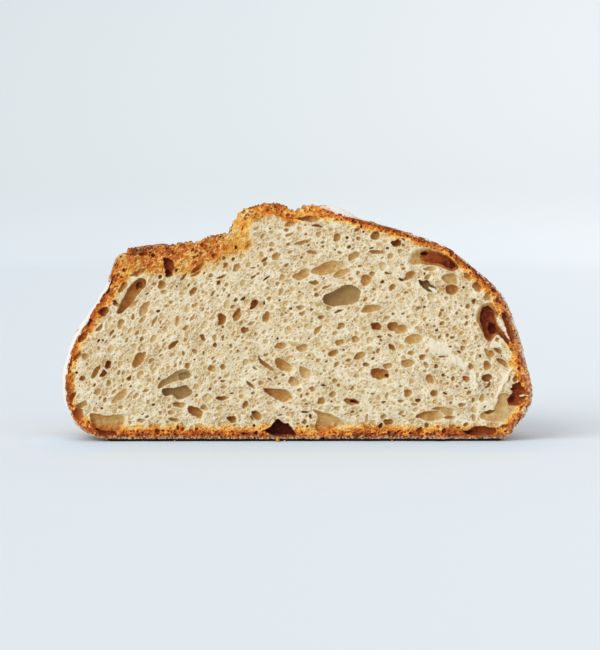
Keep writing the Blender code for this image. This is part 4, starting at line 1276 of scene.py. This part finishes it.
# Colours of holes and pits in the baked crust: its own brown, darkened by painted shade to near black
SHADED_BROWN_PIT = display(150, 68, 24)
SHADED_DARK_PIT = display(86, 24, 8)
RUDDY_CRUST = display(184, 78, 32)
# Painted highlight on the torn strands, over their own paler colour
STRAND_HIGHLIGHT = display(253, 208, 130)
# Painted glow of the golden zone below the ear
GLOW_GOLD = display(254, 210, 108)
GLOW_DEEP_GOLD = display(214, 138, 44)
SKIN_BROWN = display(144, 98, 60)
SKIN_TAN = display(230, 194, 152)
EDGE_FLOUR = display(222, 206, 186)
BLISTER_BROWN = display(96, 46, 22)
GOLDEN_EDGE = display(222, 152, 78)
CORNER_BROWN = display(104, 84, 62)
WHITE_FLOUR = display(248, 243, 235)
TONE_SPAN = 1.3


def finished(nodes, colour, height, distance, strength, roughness):
    """A Principled surface with the colour, and a bump of the given height in metres."""
    bump = nodes.add("ShaderNodeBump", {"Height": height, "Distance": distance, "Strength": strength})
    shader = nodes.add("ShaderNodeBsdfPrincipled", {"Base Color": colour, "Roughness": roughness,
                                                    "Normal": bump.outputs["Normal"]})
    shader.inputs["Specular IOR Level"].default_value = 0.25
    output = nodes.add("ShaderNodeOutputMaterial")
    nodes.tree.links.new(shader.outputs["BSDF"], output.inputs["Surface"])


def new_material(name):
    """An empty material and the hand that puts nodes into it."""
    material = bpy.data.materials.new(name)
    material.use_nodes = True
    material.node_tree.nodes.clear()
    return material, Nodes(material.node_tree)


def crumb_material(pores_group, dust_group):
    """Cream crumb whose holes and pores darken with painted shade, the more the deeper they are,
    and which turns to golden and brown crust towards the edge."""
    material, nodes = new_material("open_crumb")
    hollow, bake = nodes.attribute("hollow"), nodes.attribute("bake")
    rim_highlight, flour = nodes.attribute("rim_highlight"), nodes.attribute("flour")
    pores = nodes.add("ShaderNodeGroup", node_tree=pores_group)
    pores.inputs["Size"].default_value = 0.85
    pores.inputs["Share"].default_value = 0.45
    # Painted shade: the hollow tone and the small pores darken the crumb through the ramp
    shallow = nodes.between(hollow, 0.5, 0.1)
    pore_shade = nodes.maths("MULTIPLY", nodes.maths("MULTIPLY", pores.outputs["Pores"], shallow), 0.30)
    grain = nodes.maths("MULTIPLY", nodes.maths("SUBTRACT", pores.outputs["Grain"], 0.5), 0.16)
    tone = nodes.maths("ADD", nodes.maths("ADD", hollow, pore_shade), grain)
    crumb = nodes.ramp(nodes.maths("DIVIDE", tone, TONE_SPAN), CRUMB_SHADE_TONES)
    # Painted shade: hollows that light does not reach turn grey in their middle tones
    grey_shading = nodes.maths("MULTIPLY", nodes.attribute("grey"), nodes.between(tone, 0.15, 0.4, 0.0, 0.6))
    crumb = nodes.mix(grey_shading, crumb, GREY_HOLLOW_SHADE)
    # Painted highlight on the edges of holes, flaps and folds and on pale patches
    crumb = nodes.mix(nodes.maths("MULTIPLY", rim_highlight, 0.55), crumb, RIM_HIGHLIGHT)
    fine = nodes.maths("SUBTRACT", nodes.noise(nodes.object_place(), 0.7, 2), 0.5)
    coarse = nodes.maths("ADD", bake, nodes.maths("MULTIPLY", grain, 1.2))
    baked = nodes.ramp(nodes.maths("ADD", coarse, nodes.maths("MULTIPLY", fine, 0.68)), BAKED_TONES)
    # Holes and pits in the crust: the crust's brown darkened by painted shade, the deeper the darker
    deep = nodes.mix(nodes.between(tone, 0.75, 1.25), SHADED_BROWN_PIT, SHADED_DARK_PIT)
    baked = nodes.mix(nodes.between(tone, 0.05, 0.75), baked, deep)
    ruddy = nodes.between(nodes.noise(nodes.object_place(), 7, 2), 0.52, 0.66, 0.0, 0.45)
    ruddy = nodes.maths("MULTIPLY", ruddy, nodes.between(bake, 0.4, 0.6))
    baked = nodes.mix(ruddy, baked, RUDDY_CRUST)
    # Painted highlight on the torn strands, over their own paler colour
    strand_highlight = nodes.maths("MULTIPLY", nodes.attribute("strands"), 0.6)
    baked = nodes.mix(strand_highlight, baked, STRAND_HIGHLIGHT)
    # Painted glow: the golden zone below the ear is coloured as if light shone through it
    glow = nodes.mix(nodes.between(tone, 0.0, 0.6), GLOW_GOLD, GLOW_DEEP_GOLD)
    baked = nodes.mix(nodes.maths("MULTIPLY", nodes.attribute("amber_glow"), 0.85), baked, glow)
    colour = nodes.mix(nodes.between(bake, 0.04, 0.42), crumb, baked)
    speckle = nodes.between(nodes.noise(nodes.object_place(), 1.1, 4), 0.38, 0.56)
    skin = nodes.mix(speckle, SKIN_BROWN, SKIN_TAN)
    colour = nodes.mix(nodes.maths("MULTIPLY", nodes.attribute("skin"), 0.85), colour, skin)
    colour = nodes.mix(nodes.between(tone, 1.45, 1.9), colour, CONTACT_SHADE)
    dust = nodes.add("ShaderNodeGroup", {"Amount": flour}, node_tree=dust_group)
    cover = nodes.maths("MULTIPLY", dust.outputs["Cover"], 0.8)
    colour = nodes.mix(cover, colour, EDGE_FLOUR)
    height = nodes.maths("SUBTRACT", pores.outputs["Grain"], pores.outputs["Pores"])
    finished(nodes, colour, height, 0.0002, 0.6, 0.85)
    return material


def crust_material(pores_group, dust_group):
    """Baked crust: brown and mottled where it is smooth, golden to red-brown in the torn band,
    with flour on top."""
    material, nodes = new_material("baked_crust")
    place = nodes.object_place()
    band, strands = nodes.attribute("band"), nodes.attribute("strands")
    blister, flour = nodes.attribute("blister"), nodes.attribute("flour")
    wide = nodes.noise(place, 38, 3)
    close = nodes.noise(place, 4, 5)
    level = nodes.maths("ADD", nodes.maths("MULTIPLY", wide, 0.62), nodes.maths("MULTIPLY", close, 0.38))
    smooth_crust = nodes.ramp(level, SMOOTH_CRUST_TONES)
    smooth_crust = nodes.mix(nodes.between(blister, 0.1, 0.9, 0.0, 0.5), smooth_crust, BLISTER_BROWN)
    golden = nodes.maths("MULTIPLY", nodes.attribute("near_cut"), 0.6)
    smooth_crust = nodes.mix(golden, smooth_crust, GOLDEN_EDGE)
    uneven = nodes.maths("MULTIPLY", nodes.maths("SUBTRACT", close, 0.5), 0.8)
    torn_level = nodes.maths("ADD", strands, uneven)
    torn = nodes.ramp(torn_level, TORN_CRUST_TONES)
    torn = nodes.mix(nodes.maths("MULTIPLY", nodes.attribute("corner"), 0.75), torn, CORNER_BROWN)
    colour = nodes.mix(band, smooth_crust, torn)
    dust = nodes.add("ShaderNodeGroup", {"Amount": flour}, node_tree=dust_group)
    cover = nodes.maths("MULTIPLY", dust.outputs["Cover"], 0.92)
    colour = nodes.mix(cover, colour, WHITE_FLOUR)
    cracks = nodes.add("ShaderNodeTexVoronoi", {"Vector": place, "Scale": 1000 / 7.0},
                       feature="DISTANCE_TO_EDGE").outputs["Distance"]
    crack = nodes.between(cracks, 0.0, 0.05)
    fine = nodes.noise(place, 0.9, 4)
    height = nodes.maths("ADD", nodes.maths("MULTIPLY", crack, 0.25), nodes.maths("ADD", fine, close))
    finished(nodes, colour, height, 0.0004, 0.5, 0.62)
    return material


def studio_material():
    """Pale blue-grey paper, with painted light that makes it lighter to the right and painted shade
    that makes the upright darker than the floor, and a bluer patch painted on the floor before
    the loaf to cancel the warm light that the loaf bounces onto it.
    """
    material, nodes = new_material("pale_studio")
    # Painted light: floor and upright lighter to the right; painted shade: the upright darker than the
    # floor
    floor = nodes.mix(nodes.attribute("side"), display(223, 232, 240), display(244, 250, 255))
    wall = nodes.mix(nodes.attribute("side"), display(219, 226, 230), display(226, 231, 234))
    place = nodes.add("ShaderNodeSeparateXYZ", {"Vector": nodes.object_place()})
    # Painted against light: a bluer patch in front of the loaf, where the loaf bounces warm light onto the
    # floor
    in_front = nodes.maths("MULTIPLY", nodes.between(place.outputs["Y"], -0.12, -0.068),
                           nodes.between(place.outputs["Y"], 0.0, -0.05))
    beside = nodes.between(nodes.maths("ABSOLUTE", place.outputs["X"]), 0.15, 0.09)
    floor = nodes.mix(nodes.maths("MULTIPLY", in_front, beside), floor, display(220, 238, 255))
    colour = nodes.mix(nodes.attribute("rise"), floor, wall)
    shader = nodes.add("ShaderNodeBsdfPrincipled", {"Base Color": colour, "Roughness": 0.9})
    shader.inputs["Specular IOR Level"].default_value = 0.1
    output = nodes.add("ShaderNodeOutputMaterial")
    nodes.tree.links.new(shader.outputs["BSDF"], output.inputs["Surface"])
    return material


def make_stage(material):
    """A round floor that turns up into a wall far behind: a profile of a flat run, a quarter
    circle and an upright, turned about the middle."""
    turn = np.linspace(0, math.pi / 2, 65)
    radius = np.concatenate([np.linspace(0.001, STAGE_FLAT, STAGE_RINGS, endpoint=False),
                             STAGE_FLAT + STAGE_BEND * np.sin(turn), [STAGE_FLAT + STAGE_BEND]])
    height = np.concatenate([np.zeros(STAGE_RINGS), STAGE_BEND * (1 - np.cos(turn)),
                             [STAGE_BEND + STAGE_WALL]])
    around = np.linspace(math.tau, 0, 145)[None]
    x, y = radius[:, None] * np.cos(around), radius[:, None] * np.sin(around)
    z = height[:, None] * np.ones_like(around)
    places = np.stack([x, y, z], axis=-1)
    normals = directions(x, y, z)
    for name, rows in (("floor", slice(0, STAGE_RINGS + 1)), ("backdrop", slice(STAGE_RINGS, None))):
        part = places[rows]
        # Masks for painted shade up the bend and painted light growing to the right, less of it far to the
        # left
        rise = smoothstep(-0.03, 0.15, part[..., 2])
        far_left = smoothstep(0, 2, part[..., 1]) * smoothstep(0, -0.2, part[..., 0]) * (1 - rise)
        side = 0.5 + part[..., 0] / 1.2 * (1 - 0.3 * far_left)
        mesh = grid_mesh(name, part, normals[rows], {"rise": rise, "side": np.clip(side, 0, 1)})
        thing = bpy.data.objects.new(name, mesh)
        mesh.materials.append(material)
        bpy.context.scene.collection.objects.link(thing)
        if name == "backdrop":
            thing.visible_diffuse = False
            thing.visible_glossy = False
            thing.visible_shadow = False


def aim(thing, target):
    """Turns a lamp or a camera so that it looks at the target."""
    thing.rotation_mode = "QUATERNION"
    thing.rotation_quaternion = (target - thing.location).to_track_quat("-Z", "Y")


def light_studio():
    """A wide soft key from the upper left in front, and an even pale sky all round."""
    key = bpy.data.lights.new("key", "SUN")
    key.angle = KEY_WIDTH
    key.energy = KEY_STRENGTH
    key.color = KEY_COLOUR
    thing = bpy.data.objects.new("key", key)
    thing.location = KEY_PLACE
    aim(thing, Vector((0, 0, 0)))
    bpy.context.scene.collection.objects.link(thing)
    world = bpy.data.worlds.new("sky")
    world.use_nodes = True
    background = world.node_tree.nodes["Background"]
    background.inputs["Color"].default_value = SKY_COLOUR
    background.inputs["Strength"].default_value = SKY_STRENGTH
    bpy.context.scene.world = world


def place_camera():
    """A long lens a metre away, a little to the left and above, so that a millimetre in the cut
    plane is two pixels of the 600 x 650 frame."""
    azimuth, elevation = math.radians(CAMERA_AZIMUTH), math.radians(CAMERA_ELEVATION)
    target = Vector((PLACED.shift_x * MM + CAMERA_SIDESTEP, cad_low.y, CAMERA_AIM_HEIGHT))
    data = bpy.data.cameras.new("camera")
    data.sensor_width = SENSOR
    data.sensor_fit = "AUTO"
    data.lens = SENSOR * CAMERA_DISTANCE / FRAME_HEIGHT
    camera = bpy.data.objects.new("camera", data)
    away = Vector((math.sin(azimuth) * math.cos(elevation), -math.cos(azimuth) * math.cos(elevation),
                   math.sin(elevation)))
    camera.location = target + CAMERA_DISTANCE * away
    aim(camera, target)
    camera.rotation_quaternion @= Quaternion((0, 0, 1), math.radians(CAMERA_ROLL))
    bpy.context.scene.collection.objects.link(camera)
    bpy.context.scene.camera = camera


def main():
    """Builds the loaf, the studio, the light and the camera."""
    pores_group, dust_group = fine_pores_group(), flour_dust_group()
    crumb = crumb_material(pores_group, dust_group)
    make_crumb(crumb)
    make_crust(crust_material(pores_group, dust_group))
    make_crumbs(crumb)
    make_stage(studio_material())
    light_studio()
    place_camera()
    bpy.context.scene.view_settings.view_transform = "Standard"


main()
